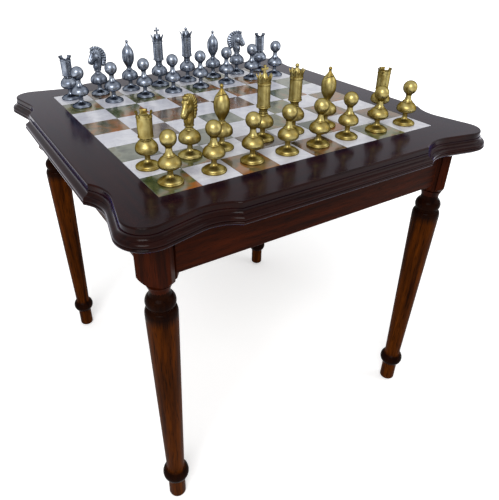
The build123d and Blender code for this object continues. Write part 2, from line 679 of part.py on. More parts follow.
def draw_royal(kind, cap_radius):
    """Half section of a king or queen up to the cap inside the crown."""
    collar = draw_pedestal(kind)
    neck = (ROYAL_NECK, ROYAL_NECK_HEIGHT)
    Spline(collar, neck, tangents=((-0.5, 1), (0, 1)))
    ring = (DRUM_RING - 1, DRUM_FOOT)
    Spline(neck, ring, tangents=((0, 1), (1, 0.2)))
    lip = draw_ring(ring, DRUM_FOOT + 2, DRUM_RADIUS)
    band = (DRUM_RADIUS, DRUM_TOP)
    Line(lip, band)
    groove = (DRUM_RADIUS - 0.6, DRUM_TOP + 0.6)
    crown_foot = (DRUM_RADIUS, DRUM_TOP + BAND_HEIGHT)
    Polyline(band, groove, (DRUM_RADIUS + 0.4, DRUM_TOP + 1.2), crown_foot)
    tip = (CROWN_RADIUS, CROWN_HEIGHT)
    Spline(crown_foot, tip, tangents=((0.1, 1), (0.5, 1)))
    inner_tip = (CROWN_RADIUS - CROWN_WALL, CROWN_HEIGHT)
    valley = (DRUM_RADIUS - CROWN_WALL - 0.6, VALLEY_HEIGHT - 1.5)
    cap = (cap_radius, CAP_HEIGHT)
    Line(tip, inner_tip)
    Spline(inner_tip, valley, tangents=((-0.5, -1), (-0.2, -1)))
    Spline(valley, cap, tangents=((-0.3, 1), (-0.6, 1)))
    return cap


def draw_king():
    """Half section of a king without its cross."""
    cap = draw_royal("king", CROSS_ARM / 2)
    Polyline(cap, (0, CAP_HEIGHT), (0, FELT_THICKNESS))


def draw_queen():
    """Half section of a queen with the ball on its pin."""
    pin = QUEEN_BALL_RADIUS / 2
    cap = draw_royal("queen", pin)
    middle = QUEEN_HEIGHT - QUEEN_BALL_RADIUS
    ball_foot = (pin, middle - sqrt(QUEEN_BALL_RADIUS**2 - pin**2))
    Line(cap, ball_foot)
    ThreePointArc(ball_foot, (QUEEN_BALL_RADIUS, middle), (0, QUEEN_HEIGHT))
    Line((0, QUEEN_HEIGHT), (0, FELT_THICKNESS))


def draw_knight_stand():
    """Half section of the stand under a horse's head."""
    collar = draw_pedestal("knight")
    plinth = (KNIGHT_PLINTH_RADIUS - 0.6, KNIGHT_PLINTH - 2)
    Spline(collar, plinth, tangents=((-0.5, 1), (0.8, 1)))
    top = draw_ring(plinth, KNIGHT_PLINTH, KNIGHT_PLINTH_RADIUS - 0.6)
    Polyline(top, (0, KNIGHT_PLINTH), (0, FELT_THICKNESS))


SECTIONS = {
    "pawn": draw_pawn,
    "rook": draw_rook,
    "bishop": draw_bishop,
    "king": draw_king,
    "queen": draw_queen,
    "knight": draw_knight_stand,
}


def cut_battlements(x, y, facing):
    """Two round-bottomed slots through the battlement leave four merlons."""
    bottom = ROOK_HEIGHT - BATTLEMENT_DEPTH
    round_radius = BATTLEMENT_GAP / 2
    for heading in (facing, facing + 90):
        with BuildSketch(upright(x, y, heading, 0, TABLE_HEIGHT)) as slot:
            with Locations((0, bottom + round_radius)):
                Circle(round_radius)
            with Locations((0, bottom + 2 * round_radius)):
                Rectangle(BATTLEMENT_GAP, 2 * round_radius)
        extrude(slot.sketch, amount=2 * BATTLEMENT_RADIUS, both=True, mode=Mode.SUBTRACT)


def cut_mitre_slit(x, y, facing):
    """The slanting saw cut of a bishop's mitre, from the side it faces to the middle."""
    with BuildSketch(upright(x, y, facing, 0, TABLE_HEIGHT)) as slit:
        with Locations((0, SLIT_HEIGHT)):
            with Locations(Location((0, 0, 0), (0, 0, SLIT_SLOPE))):
                Rectangle(EGG_RADIUS + 1, SLIT_WIDTH, align=(Align.MIN, Align.CENTER))
    extrude(slit.sketch, amount=EGG_RADIUS, both=True, mode=Mode.SUBTRACT)


def cut_leaves(x, y):
    """Notches between the pointed leaves of a crown."""
    inside = DRUM_RADIUS - CROWN_WALL - 0.8
    half_width = CROWN_RADIUS * tan(pi / LEAVES) * 0.8
    for leaf in range(LEAVES):
        angle = 360 * (leaf + 0.5) / LEAVES
        px, py = on_circle((x, y), inside, angle)
        with BuildSketch(upright(px, py, angle + 90, 0, TABLE_HEIGHT)) as notch:
            with BuildLine():
                Polyline(
                    (0, VALLEY_HEIGHT),
                    (half_width, CROWN_HEIGHT + 0.5),
                    (-half_width, CROWN_HEIGHT + 0.5),
                    close=True,
                )
            make_face()
        extrude(notch.sketch, amount=CROWN_RADIUS, mode=Mode.SUBTRACT)


def add_cross(x, y):
    """Cross on a king's crown."""
    arms = KING_HEIGHT - CROSS_HALF
    with BuildSketch(upright(x, y, 0, 0, TABLE_HEIGHT)) as cross:
        with Locations((0, (CAP_HEIGHT + KING_HEIGHT) / 2 - 1)):
            Rectangle(CROSS_ARM, KING_HEIGHT - CAP_HEIGHT + 2)
        with Locations((0, arms)):
            Rectangle(2 * CROSS_HALF, CROSS_ARM)
    extrude(cross.sketch, amount=CROSS_ARM / 2, both=True)


def side_section(stand, front, back, width):
    """Elliptical section of the horse between two points of its side view."""
    along = (front[0] - back[0]) / 2
    rise = (front[1] - back[1]) / 2
    reach = hypot(along, rise)
    middle = stand.from_local_coords(Vector(back[0] + along, back[1] + rise, 0))
    across = (stand.x_dir * along + Vector(0, 0, rise)) * (1 / reach)
    plane = Plane(origin=middle, x_dir=stand.z_dir, z_dir=stand.z_dir.cross(across))
    with BuildSketch(plane) as section:
        with BuildLine():
            turns = [pi * step / 4 for step in range(8)]
            Spline(*[(width * cos(t), reach * sin(t)) for t in turns], periodic=True)
        make_face()
    return section.sketch


def add_neck(stand):
    """Arched neck, swelling from the plinth to the crest behind the head."""
    foot = KNIGHT_PLINTH - 0.7
    loft(
        [
            side_section(stand, (6.0, foot), (-6.4, foot + 0.1), 5.7),
            side_section(stand, (7.0, 52.6), (-9.4, 53.2), 6.1),
            side_section(stand, (7.1, 57.4), (-12.0, 60.0), 6.4),
            side_section(stand, (6.6, 63.0), (-14.0, 68.6), 6.3),
            side_section(stand, (7.6, 69.0), (-13.6, 77.4), 5.9),
            side_section(stand, (9.2, 75.6), (-9.4, 85.0), 5.2),
            side_section(stand, (9.6, 82.4), (-2.6, 88.6), 4.4),
        ]
    )


def add_face(stand):
    """Bowed head from the brow down to the muzzle."""
    loft(
        [
            side_section(stand, (8.4, 88.6), (0.4, 85.4), 3.1),
            side_section(stand, (10.5, 84.2), (-1.2, 78.4), 4.8),
            side_section(stand, (12.7, 78.6), (-0.2, 70.4), 5.2),
            side_section(stand, (15.0, 73.6), (3.8, 65.2), 4.6),
            side_section(stand, (17.2, 69.3), (8.0, 62.0), 4.0),
            side_section(stand, (18.3, 66.3), (10.2, 60.8), 3.7),
            side_section(stand, (17.5, 63.7), (11.6, 60.9), 2.6),
        ]
    )
    with BuildSketch(stand) as mouth:
        with BuildLine():
            Polyline((20.0, 62.6), (12.0, 63.9), (20.0, 61.4), close=True)
        make_face()
    extrude(mouth.sketch, amount=KNIGHT_PLINTH_RADIUS, both=True, mode=Mode.SUBTRACT)


def add_cheeks(stand):
    """Round jaw plates, one each side of the head."""
    for side in (-1, 1):
        jaw = stand.from_local_coords(Vector(2.6, 72.4, side * 3.6))
        with BuildSketch(Plane(origin=jaw, x_dir=stand.x_dir, z_dir=stand.z_dir * side)) as disc:
            Circle(8.2)
        extrude(disc.sketch, amount=2.7, taper=38)


def add_ears(stand):
    """Two short pointed ears in front of the poll."""
    for side in (-1, 1):
        root = stand.from_local_coords(Vector(3.4, 86.2, side * 3.2))
        with BuildSketch(Plane(origin=root, x_dir=stand.x_dir, z_dir=(0, 0, 1))) as ear:
            Circle(1.9)
        extrude(ear.sketch, amount=6.8, taper=12)


def add_mane(stand):
    """Mane standing proud along the neck, in locks that end in a free tip."""
    crest = [(-15.6, 53.6), (-20.4, 59.4), (-22.6, 66.6), (-22.4, 74.0), (-19.6, 80.8)]
    crest += [(-14.8, 86.4), (-8.4, 90.4), (-1.4, 92.4), (5.4, 92.2), (9.6, 88.6)]
    inside = [(9.6, 88.6), (1.2, 87.2), (-7.2, 82.6), (-12.4, 74.8), (-13.4, 65.4), (-12.2, 58.2)]
    with BuildSketch(stand) as mane:
        with BuildLine():
            for low, high in zip(crest, crest[1:]):
                middle = ((low[0] + high[0]) / 2, (low[1] + high[1]) / 2)
                out = (high[1] - low[1], low[0] - high[0])
                bulge = (middle[0] - 0.12 * out[0], middle[1] - 0.12 * out[1])
                ThreePointArc(low, bulge, high)
            Spline(*inside)
            Line(inside[-1], crest[0])
        make_face()
    extrude(mane.sketch, amount=3.6, both=True)


def add_horse_head(x, y, facing):
    """Head, neck and mane of a knight, built up in the plane of its side view."""
    stand = upright(x, y, facing, 0, TABLE_HEIGHT)
    add_neck(stand)
    add_face(stand)
    add_cheeks(stand)
    add_ears(stand)
    add_mane(stand)


# Where each chessman stands: square, then how far the hand left it off the middle.
MEN = {
    "gold_rook_left": ("rook", 0, 1, -5.6, -2.6, 24),
    "gold_knight": ("knight", 1, 1, 0.4, 2.0, 215),
    "gold_bishop_left": ("bishop", 2, 1, -7.5, 3.3, 270),
    "gold_king": ("king", 3, 1, 3.0, 2.0, 0),
    "gold_queen": ("queen", 4, 1, 2.6, 4.6, 0),
    "gold_bishop_right": ("bishop", 5, 1, 3.0, -1.0, 270),
    "gold_rook_right": ("rook", 7, 1, -2.0, -4.0, 24),
    "gold_pawn_1": ("pawn", 0, 0, 0.0, -1.0, 0),
    "gold_pawn_2": ("pawn", 1, 0, 4.0, 0.5, 0),
    "gold_pawn_3": ("pawn", 2, 0, 4.7, 1.0, 0),
    "gold_pawn_4": ("pawn", 3, 0, 4.4, 1.3, 0),
    "gold_pawn_5": ("pawn", 4, 0, -0.5, 0.0, 0),
    "gold_pawn_6": ("pawn", 5, 0, -2.7, 2.7, 0),
    "gold_pawn_7": ("pawn", 6, 0, -2.0, 1.0, 0),
    "gold_pawn_8": ("pawn", 7, 0, -1.4, 0.0, 0),
    "silver_rook_left": ("rook", 0, 7, -3.0, 4.0, 76),
    "silver_knight_left": ("knight", 1, 7, -6.0, 4.0, 196),
    "silver_bishop_left": ("bishop", 2, 7, -4.0, 2.0, 90),
    "silver_king": ("king", 3, 7, -1.0, 1.0, 0),
    "silver_queen": ("queen", 4, 7, 3.0, 3.0, 0),
    "silver_bishop_right": ("bishop", 5, 7, 3.0, 1.0, 90),
    "silver_knight_right": ("knight", 6, 7, 2.4, 1.4, 315),
    "silver_rook_right": ("rook", 7, 7, -1.0, -2.0, 55),
    "silver_pawn_1": ("pawn", 0, 6, -0.6, 5.0, 0),
    "silver_pawn_2": ("pawn", 1, 6, 0.6, 6.0, 0),
    "silver_pawn_3": ("pawn", 2, 6, 2.0, 3.0, 0),
    "silver_pawn_4": ("pawn", 3, 6, 2.0, 5.0, 0),
    "silver_pawn_5": ("pawn", 4, 6, 2.5, 5.0, 0),
    "silver_pawn_6": ("pawn", 5, 6, 3.0, 6.0, 0),
    "silver_pawn_7": ("pawn", 6, 6, 4.0, 5.0, 0),
    "silver_pawn_8": ("pawn", 7, 6, 3.0, 5.0, 0),
}

for name, (kind, column, row, off_x, off_y, facing) in MEN.items():
    middle = square_centre(column, row)
    x = middle[0] + off_x
    y = middle[1] + off_y
    with BuildPart() as chessman:
        with BuildSketch(upright(x, y, 0, 0, TABLE_HEIGHT)):
            with BuildLine():
                SECTIONS[kind]()
            make_face()
        revolve(axis=Axis((x, y, 0), (0, 0, 1)))
        if kind == "rook":
            cut_battlements(x, y, facing)
        if kind == "bishop":
            cut_mitre_slit(x, y, facing)
        if kind in ("king", "queen"):
            cut_leaves(x, y)
        if kind == "king":
            add_cross(x, y)
        if kind == "knight":
            add_horse_head(x, y, facing)
    chessman.part.label = name
    export_step(chessman.part, f"parts/{name}.step")
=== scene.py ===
"""Visual model of a games table with an inlaid stone chessboard and its metal chessmen.

Sizes are in millimetres unless a note says otherwise; the frame and the scene are in metres.
"""

from __future__ import annotations

import logging
import math
from dataclasses import dataclass, field
from enum import Enum

import bmesh
import bpy
from mathutils import Matrix, Vector

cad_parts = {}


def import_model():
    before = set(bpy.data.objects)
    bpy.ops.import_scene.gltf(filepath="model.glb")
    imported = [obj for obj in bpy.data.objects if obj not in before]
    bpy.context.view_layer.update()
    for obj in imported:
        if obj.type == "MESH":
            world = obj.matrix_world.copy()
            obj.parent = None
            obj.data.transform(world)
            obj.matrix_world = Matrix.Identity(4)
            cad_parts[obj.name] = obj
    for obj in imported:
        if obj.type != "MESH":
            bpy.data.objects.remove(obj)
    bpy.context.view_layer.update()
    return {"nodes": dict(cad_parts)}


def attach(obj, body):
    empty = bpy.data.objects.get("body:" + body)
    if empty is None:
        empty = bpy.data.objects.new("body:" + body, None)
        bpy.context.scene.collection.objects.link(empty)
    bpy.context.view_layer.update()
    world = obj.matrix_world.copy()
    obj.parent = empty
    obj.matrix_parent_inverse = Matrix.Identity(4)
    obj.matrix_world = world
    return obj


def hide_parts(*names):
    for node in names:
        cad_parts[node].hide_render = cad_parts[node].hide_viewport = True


LOG = logging.getLogger("games_table")
MM = 0.001
SQUARE = 63.5
BOARD_TOP = 602.0
# A wave texture repeats every 2 pi / 20 of a unit.
WAVE_REPEAT = math.tau / 20
Pair = tuple[float, float]
Triple = tuple[float, float, float]


def linear(code: str) -> tuple[float, float, float, float]:
    """Turns an sRGB hex colour into the linear values that shaders take."""
    values = [int(code[i : i + 2], 16) / 255 for i in (1, 3, 5)]
    return (*(v / 12.92 if v <= 0.04045 else ((v + 0.055) / 1.055) ** 2.4 for v in values), 1.0)


# ---------------------------------------------------------------- materials


class Grain(Enum):
    """Which way the long fibres of a board run."""

    ALONG_X = "x"
    ALONG_Y = "y"
    UPRIGHT = "z"


class Graph:
    """A node tree, with one way to add nodes."""

    def __init__(self, tree: bpy.types.NodeTree) -> None:
        """Takes a tree over and empties it."""
        self.tree = tree
        tree.nodes.clear()

    def plug(self, socket: bpy.types.NodeSocket, value: object) -> None:
        """Links or sets one input.

        Args:
            socket: the input.
            value: a node (for its first output in use), an output, a hex colour or a plain value.
        """
        if isinstance(value, bpy.types.Node):
            value = next(output for output in value.outputs if output.enabled)
        if isinstance(value, bpy.types.NodeSocket):
            self.tree.links.new(value, socket)
        else:
            socket.default_value = linear(value) if isinstance(value, str) else value

    def add(self, kind: str, *inputs: object, **named: object) -> bpy.types.Node:
        """Adds a node with its settings and links.

        Args:
            kind: type of node, without ShaderNode in front.
            inputs: what its inputs in use get, in order.
            named: settings by their lower case names, inputs by their capitalised names with
                underscores for spaces, and stops for a ramp's positions and hex colours.

        Returns:
            The new node.
        """
        node = self.tree.nodes.new(f"ShaderNode{kind}")
        stops = named.pop("stops", ())
        settings = {key: value for key, value in named.items() if key.islower()}
        for key, value in settings.items():
            setattr(node, key, value)
        in_use = [socket for socket in node.inputs if socket.enabled]
        for socket, value in zip(in_use, inputs):
            self.plug(socket, value)
        for key, value in named.items():
            if key not in settings:
                self.plug(node.inputs[key.replace("_", " ")], value)
        if stops:
            elements = node.color_ramp.elements
            while len(elements) < len(stops):
                elements.new(0.5)
            for element, (position, code) in zip(elements, stops):
                element.position = position
                element.color = linear(code)
        return node

    def mapped(self, sizes: Triple, turn: float = 0.0) -> bpy.types.Node:
        """Counts the repeats of a pattern from the object's origin.

        Args:
            sizes: length of one repeat along each axis.
            turn: angle about the vertical by which the pattern is turned first.

        Returns:
            The node that gives the coordinates.
        """
        where = self.add("TexCoord").outputs["Object"]
        turned = self.add("VectorRotate", rotation_type="Z_AXIS", Vector=where, Angle=turn)
        scale = tuple(1 / (size * MM) for size in sizes)
        return self.add("VectorMath", turned, scale, operation="MULTIPLY")

    def shown(self) -> bpy.types.Node:
        """Gives one for rays that show the background.

        Returns:
            The node, which is one to the eye, in polished metal and through glass.
        """
        path = self.add("LightPath").outputs
        either = self.add("Math", path["Is Camera Ray"], path["Is Glossy Ray"], operation="MAXIMUM")
        return self.add("Math", either, path["Is Transmission Ray"], operation="MAXIMUM")


class Surface(Graph):
    """One material's tree, with a Principled shader wired to the output."""

    def __init__(self, name: str) -> None:
        """Starts the material.

        Args:
            name: the material's name.
        """
        self.material = bpy.data.materials.new(name)
        self.material.use_nodes = True
        super().__init__(self.material.node_tree)
        self.shader = self.add("BsdfPrincipled")
        self.add("OutputMaterial", self.shader)

    def grained(self, grain: Grain, across: float, along: float) -> bpy.types.Node:
        """Stretches a pattern along the fibres.

        Args:
            grain: way of the fibres.
            across: width of one repeat.
            along: length of one repeat.

        Returns:
            The node that gives the coordinates.
        """
        upright = grain is Grain.UPRIGHT
        sizes = (across, across, along) if upright else (along, across, across)
        return self.mapped(sizes, math.pi / 2 if grain is Grain.ALONG_Y else 0.0)

    def own_place(self, spread: float) -> tuple[bpy.types.Node, bpy.types.Node]:
        """Cuts each square of the board from another part of the block.

        Args:
            spread: how far the parts lie apart, in metres.

        Returns:
            A node whose value differs between squares, and the moved coordinates in metres.
        """
        square = self.add("VectorMath", self.mapped((SQUARE,) * 3), operation="FLOOR")
        jump = self.add("TexWhiteNoise", square)
        metres = self.mapped((1000,) * 3)
        colour = jump.outputs["Color"]
        return jump, self.add("VectorMath", colour, (spread,) * 3, metres, operation="MULTIPLY_ADD")

    def finish(self, **inputs: object) -> bpy.types.Material:
        """Sets the shader's inputs.

        Args:
            inputs: what they get, by name with underscores for spaces.

        Returns:
            The finished material.
        """
        for key, value in inputs.items():
            self.plug(self.shader.inputs[key.replace("_", " ")], value)
        return self.material


@dataclass(frozen=True)
class Mahogany:
    """Stained mahogany under lacquer: dark pores and a slow figure make it warm and fibrous."""

    dark: str
    light: str
    pore: str
    gloss: float
    roughness: float
    pore_depth: float
    pore_width: float = 0.35
    # A blue sheen at a low angle, painted in as a reflection.
    bloom: float = 0.0
    bloom_tint: str = "#5a6cff"
    spray: str = "#0d0504"

    def build(
        self, name: str, grain: Grain, shaded: tuple[Triple, ...] = ()
    ) -> bpy.types.Material:
        """Makes the material with its grain running one way.

        Args:
            name: material name.
            grain: way of the fibres.
            shaded: zones sprayed nearly black, as middle height, half height and fade.

        Returns:
            The material.
        """
        graph = Surface(name)
        # Slow figure, its bands about 14 mm wide and 250 mm long.
        slow = graph.grained(grain, 14.286, 250)
        figure = graph.add("TexNoise", slow, Scale=1.0, Detail=4.0, Distortion=0.6)
        # Pores run lengthwise, 25 times as long as they are wide: the dark dashes of open grain.
        fine = graph.grained(grain, self.pore_width, 25 * self.pore_width)
        pores = graph.add("TexNoise", fine, Scale=1.0, Detail=1.0)
        dashes = graph.add("MapRange", pores, 0.56, 0.68, 0.0, 1.0)
        # Ribbon stripe, where bands of fibre 8 mm wide lean by turns and catch the light.
        band = graph.grained(grain, 8.333, 111.11)
        ribbon = graph.add("TexNoise", band, Scale=1.0, Detail=2.0)
        broad = graph.add("Math", figure, 0.6, operation="MULTIPLY")
        tone = graph.add("Math", ribbon, 0.45, broad, operation="MULTIPLY_ADD")
        wood = graph.add("ValToRGB", tone, stops=((0.36, self.dark), (0.68, self.light)))
        filled = graph.add("Math", dashes, 0.75, operation="MULTIPLY")
        colour = graph.add("Mix", filled, wood, self.pore, data_type="RGBA")
        flat = graph.add("Math", 1.0, dashes, operation="SUBTRACT")
        low, high = self.roughness - 0.03, self.roughness + 0.05
        roughness = graph.add("MapRange", ribbon, 0.3, 0.7, low, high)
        if shaded:
            height = graph.add("SeparateXYZ", graph.mapped((1, 1, 1))).outputs["Z"]
            black = 0.0
            for middle, half, fade in shaded:
                offset = graph.add("Math", height, middle, operation="SUBTRACT")
                away = graph.add("Math", offset, operation="ABSOLUTE")
                zone = graph.add("MapRange", away, half, half + fade, 1.0, 0.0)
                black = graph.add("Math", black, zone, operation="MAXIMUM")
            cover = graph.add("Math", black, 0.88, operation="MULTIPLY")
            colour = graph.add("Mix", cover, colour, self.spray, data_type="RGBA")
            roughness = graph.add("Math", black, -0.18, roughness, operation="MULTIPLY_ADD")
        return graph.finish(
            Base_Color=colour,
            Roughness=roughness,
            Normal=graph.add("Bump", Height=flat, Distance=self.pore_depth * MM, Strength=1.0),
            Specular_IOR_Level=self.gloss,
            # A faint blue sheen at a low angle: a painted reflection of a blue sky.
            Sheen_Weight=self.bloom,
            Sheen_Tint=self.bloom_tint,
            Sheen_Roughness=0.35,
        )


@dataclass(frozen=True)
class PlainTimber:
    """Sawn secondary timber, dry and unfinished: pale, dull and straight in its grain."""

    dark: str = "#5d4229"
    light: str = "#8e6d48"

    def build(self, name: str) -> bpy.types.Material:
        """Makes the material with its grain along X.

        Args:
            name: material name.

        Returns:
            The material.
        """
        graph = Surface(name)
        slow = graph.grained(Grain.ALONG_X, 9.09, 200)
        figure = graph.add("TexNoise", slow, Scale=1.0, Detail=5.0, Distortion=0.4)
        # Saw marks cross the grain about 1 mm apart: three to each repeat of 3 mm.
        saw = graph.add("TexWave", graph.mapped((3.03, 125, 125)), Scale=1.0)
        marks = graph.add("Math", saw, figure, operation="MULTIPLY")
        return graph.finish(
            Base_Color=graph.add("ValToRGB", figure, stops=((0.35, self.dark), (0.65, self.light))),
            Roughness=0.78,
            Normal=graph.add("Bump", Height=marks, Distance=0.12 * MM, Strength=1.0),
        )


@dataclass(frozen=True)
class WhiteMarble:
    """Pale marble, sawn and polished: cool white with soft lavender-grey clouds and thin veins."""

    white: str = "#d2d3db"
    cloud: str = "#c3c4cf"
    vein: str = "#8d8c9c"
    cloud_size: float = 25.0
    vein_size: float = 38.46

    def build(self, name: str) -> bpy.types.Material:
        """Makes the material.

        Args:
            name: material name.

        Returns:
            The material.
        """
        graph = Surface(name)
        _, place = graph.own_place(3)
        clouds = graph.add("TexNoise", place, Scale=1000 / self.cloud_size, Detail=5.0, Distortion=0.8)
        # A vein lies where a noise crosses its middle value.
        veins = graph.add("TexNoise", place, Scale=1000 / self.vein_size, Detail=6.0, Distortion=1.6)
        offset = graph.add("Math", veins, 0.5, operation="SUBTRACT")
        away = graph.add("Math", offset, operation="ABSOLUTE")
        line = graph.add("MapRange", away, 0.0, 0.022, 1.0, 0.0)
        faint = graph.add("Math", line, 0.22, operation="MULTIPLY")
        base = graph.add("ValToRGB", clouds, stops=((0.38, self.cloud), (0.62, self.white)))
        return graph.finish(
            Base_Color=graph.add("Mix", faint, base, self.vein, data_type="RGBA"),
            Roughness=graph.add("MapRange", clouds, 0.3, 0.7, 0.16, 0.24),
            Normal=graph.add("Bump", Height=clouds, Distance=0.01 * MM, Strength=1.0),
        )


@dataclass(frozen=True)
class BandedOnyx:
    """Banded onyx, sawn and polished: bands and blotches run from a deep tone to a warm one."""

    deep: str
    middle: str
    pale: str
    warm: str
    bed: float
    wander: float = 35.71
    blotch: float = 16.13
    band: float = 34.9

    def build(self, name: str) -> bpy.types.Material:
        """Makes the material.

        Args:
            name: material name.

        Returns:
            The material.
        """
        graph = Surface(name)
        jump, place = graph.own_place(5)
        turned = graph.add("VectorRotate", rotation_type="Z_AXIS", Vector=place, Angle=jump)
        warp = graph.add("TexNoise", turned, Scale=1000 / self.wander, Detail=6.0, Distortion=1.4)
        blotch = graph.add("TexNoise", place, Scale=1000 / self.blotch, Detail=7.0, Roughness=0.62)
        repeats = WAVE_REPEAT * 1000 / self.band
        band = graph.add("TexWave", turned, Scale=repeats, Distortion=9.0, Detail=3.0)
        bands = graph.add("Math", band, 0.18, operation="MULTIPLY")
        mixed = graph.add("Math", warp, 0.7, bands, operation="MULTIPLY_ADD")
        tone = graph.add("Math", blotch, 0.35, mixed, operation="MULTIPLY_ADD")
        # A square sawn across two beds warms from its far left to its near right corner.
        inside = graph.add("VectorMath", graph.mapped((SQUARE,) * 3), operation="FRACTION")
        across = graph.add("VectorMath", inside, (1, -1, 0), operation="DOT_PRODUCT")
        tone = graph.add("Math", across, self.bed, tone, operation="MULTIPLY_ADD")
        stops = ((0.4, self.deep), (0.56, self.middle), (0.7, self.pale), (0.84, self.warm))
        return graph.finish(
            Base_Color=graph.add("ValToRGB", tone, stops=stops),
            Roughness=graph.add("MapRange", blotch, 0.3, 0.7, 0.1, 0.2),
            Normal=graph.add("Bump", Height=blotch, Distance=0.01 * MM, Strength=1.0),
        )


class Onyx(Enum):
    """Colourings of the dark squares."""

    MOSS = BandedOnyx("#2d3a20", "#4b5433", "#6b5e42", "#8f531f", 0.32)
    HONEY = BandedOnyx("#42442c", "#625132", "#81592d", "#925a26", 0.112)
    CHESTNUT = BandedOnyx("#2f2a1a", "#523f26", "#744d2a", "#5f5a3c", 0.064)
    SMOKE = BandedOnyx("#474c44", "#5e6458", "#73776a", "#66644f", 0.0)
    PLUM = BandedOnyx("#3b3330", "#584b45", "#71655a", "#64584a", 0.0)
    OLIVE = BandedOnyx("#32361e", "#4f5230", "#6a6a42", "#80582e", 0.112)


@dataclass(frozen=True)
class CastMetal:
    """Cast metal, buffed, with painted shade: an occlusion mask darkens its hollows."""

    name: str
    bright: str
    dull: str
    # recess is the colour of the painted shade in the hollows; recess_reach is how far the occlusion
    # mask looks for them.
    recess: str
    # edge is a near-black edge tint that paints shade into the reflections at a low angle.
    edge: str
    roughness: float
    recess_reach: float

    def build(self) -> bpy.types.Material:
        """Makes the material.

        Returns:
            The material.
        """
        graph = Surface(self.name)
        # Tarnish drifts over 12.5 mm; buffing leaves scratches 0.4 mm apart round the piece.
        drift = graph.add("TexNoise", graph.mapped((12.5,) * 3), Scale=1.0, Detail=4.0)
        buff = graph.add("TexNoise", graph.mapped((4, 4, 0.38462)), Scale=1.0, Detail=2.0)
        reach = self.recess_reach * MM
        # Painted shade: where the occlusion mask finds a hollow, the colour darkens toward the recess
        # colour.
        nook = graph.add("AmbientOcclusion", samples=16, only_local=True, Distance=reach)
        metal = graph.add("ValToRGB", drift, stops=((0.35, self.dull), (0.62, self.bright)))
        shade_in_hollows = graph.add("MapRange", nook.outputs["AO"], 0.25, 0.75, 1.0, 0.0)
        rough, smooth = self.roughness + 0.05, self.roughness - 0.04
        return graph.finish(
            Base_Color=graph.add("Mix", shade_in_hollows, metal, self.recess, data_type="RGBA"),
            Metallic=1.0,
            Roughness=graph.add("MapRange", drift, 0.3, 0.7, rough, smooth),
            Normal=graph.add("Bump", Height=buff, Distance=0.004 * MM, Strength=1.0),
            # Painted shade: the dark edge tint darkens the reflections near the rims.
            Specular_Tint=self.edge,
        )


@dataclass(frozen=True)
class SheetFinish:
    """Plain finish of a small fitting, with fine wear."""

    name: str
    colour: str
    wear: str
    metallic: float
    roughness: float
    grain: float

    def build(self) -> bpy.types.Material:
        """Makes the material.

        Returns:
            The material.
        """
        graph = Surface(self.name)
        grit = graph.add("TexNoise", graph.mapped((self.grain,) * 3), Scale=1.0, Detail=3.0)
        rough, smooth = self.roughness + 0.08, self.roughness - 0.05
        return graph.finish(
            Base_Color=graph.add("ValToRGB", grit, stops=((0.35, self.wear), (0.6, self.colour))),
            Metallic=self.metallic,
            Roughness=graph.add("MapRange", grit, 0.3, 0.7, rough, smooth),
            Normal=graph.add("Bump", Height=grit, Distance=0.02 * MM, Strength=1.0),
        )


# Real pores are about 0.3 mm wide. On the rails and legs they are drawn coarser, so that they show.
# Ebonised and rubbed to a gloss: nearly black, and it mirrors the men at a low angle, where a faint
# blue sheen is a painted reflection.
TOP_WOOD = Mahogany("#110505", "#260d07", "#060202", 0.06, 0.14, 0.006, bloom=0.1)
# Stained and sealed: a dull red brown with fine pores.
RAIL_WOOD = Mahogany("#1a0804", "#3b1506", "#0c0402", 0.02, 0.34, 0.012, 0.8)
# Turned and left open: a lighter brown, streaked by coarse pores.
SHAFT_WOOD = Mahogany("#1b0903", "#542704", "#0c0502", 0.01, 0.38, 0.05, 1.2)
# Cast brass, satin buffed and lacquered: old gold with broad soft lights, painted shade in its hollows
# and a dark edge tint that paints darker reflections at the rims.
BRASS = CastMetal("brass_satin_lacquered", "#a99c66", "#7d6932", "#2a210c", "#33270c", 0.38, 2.6)
# Cast pewter, buffed: blue-grey, with painted shade in its hollows and a dark edge tint that paints
# darker reflections at the rims.
PEWTER = CastMetal("pewter_antiqued", "#8e96a3", "#5e6573", "#14141b", "#26272f", 0.29, 6.0)
# Zinc-plated steel, barrel plated: a flat light grey.
ZINC = SheetFinish("steel_zinc_plated", "#b9bcc0", "#8f9498", 1.0, 0.35, 1.2)
# Moulded nylon: a dull near black.
GLIDE = SheetFinish("nylon_dark_moulded", "#2b2421", "#1c1715", 0.0, 0.5, 0.6)
# Wool felt: green, with no shine at all.
FELT = SheetFinish("felt_green", "#2c4a33", "#1b3021", 0.0, 0.95, 0.7)


# ---------------------------------------------------------------- mesh building


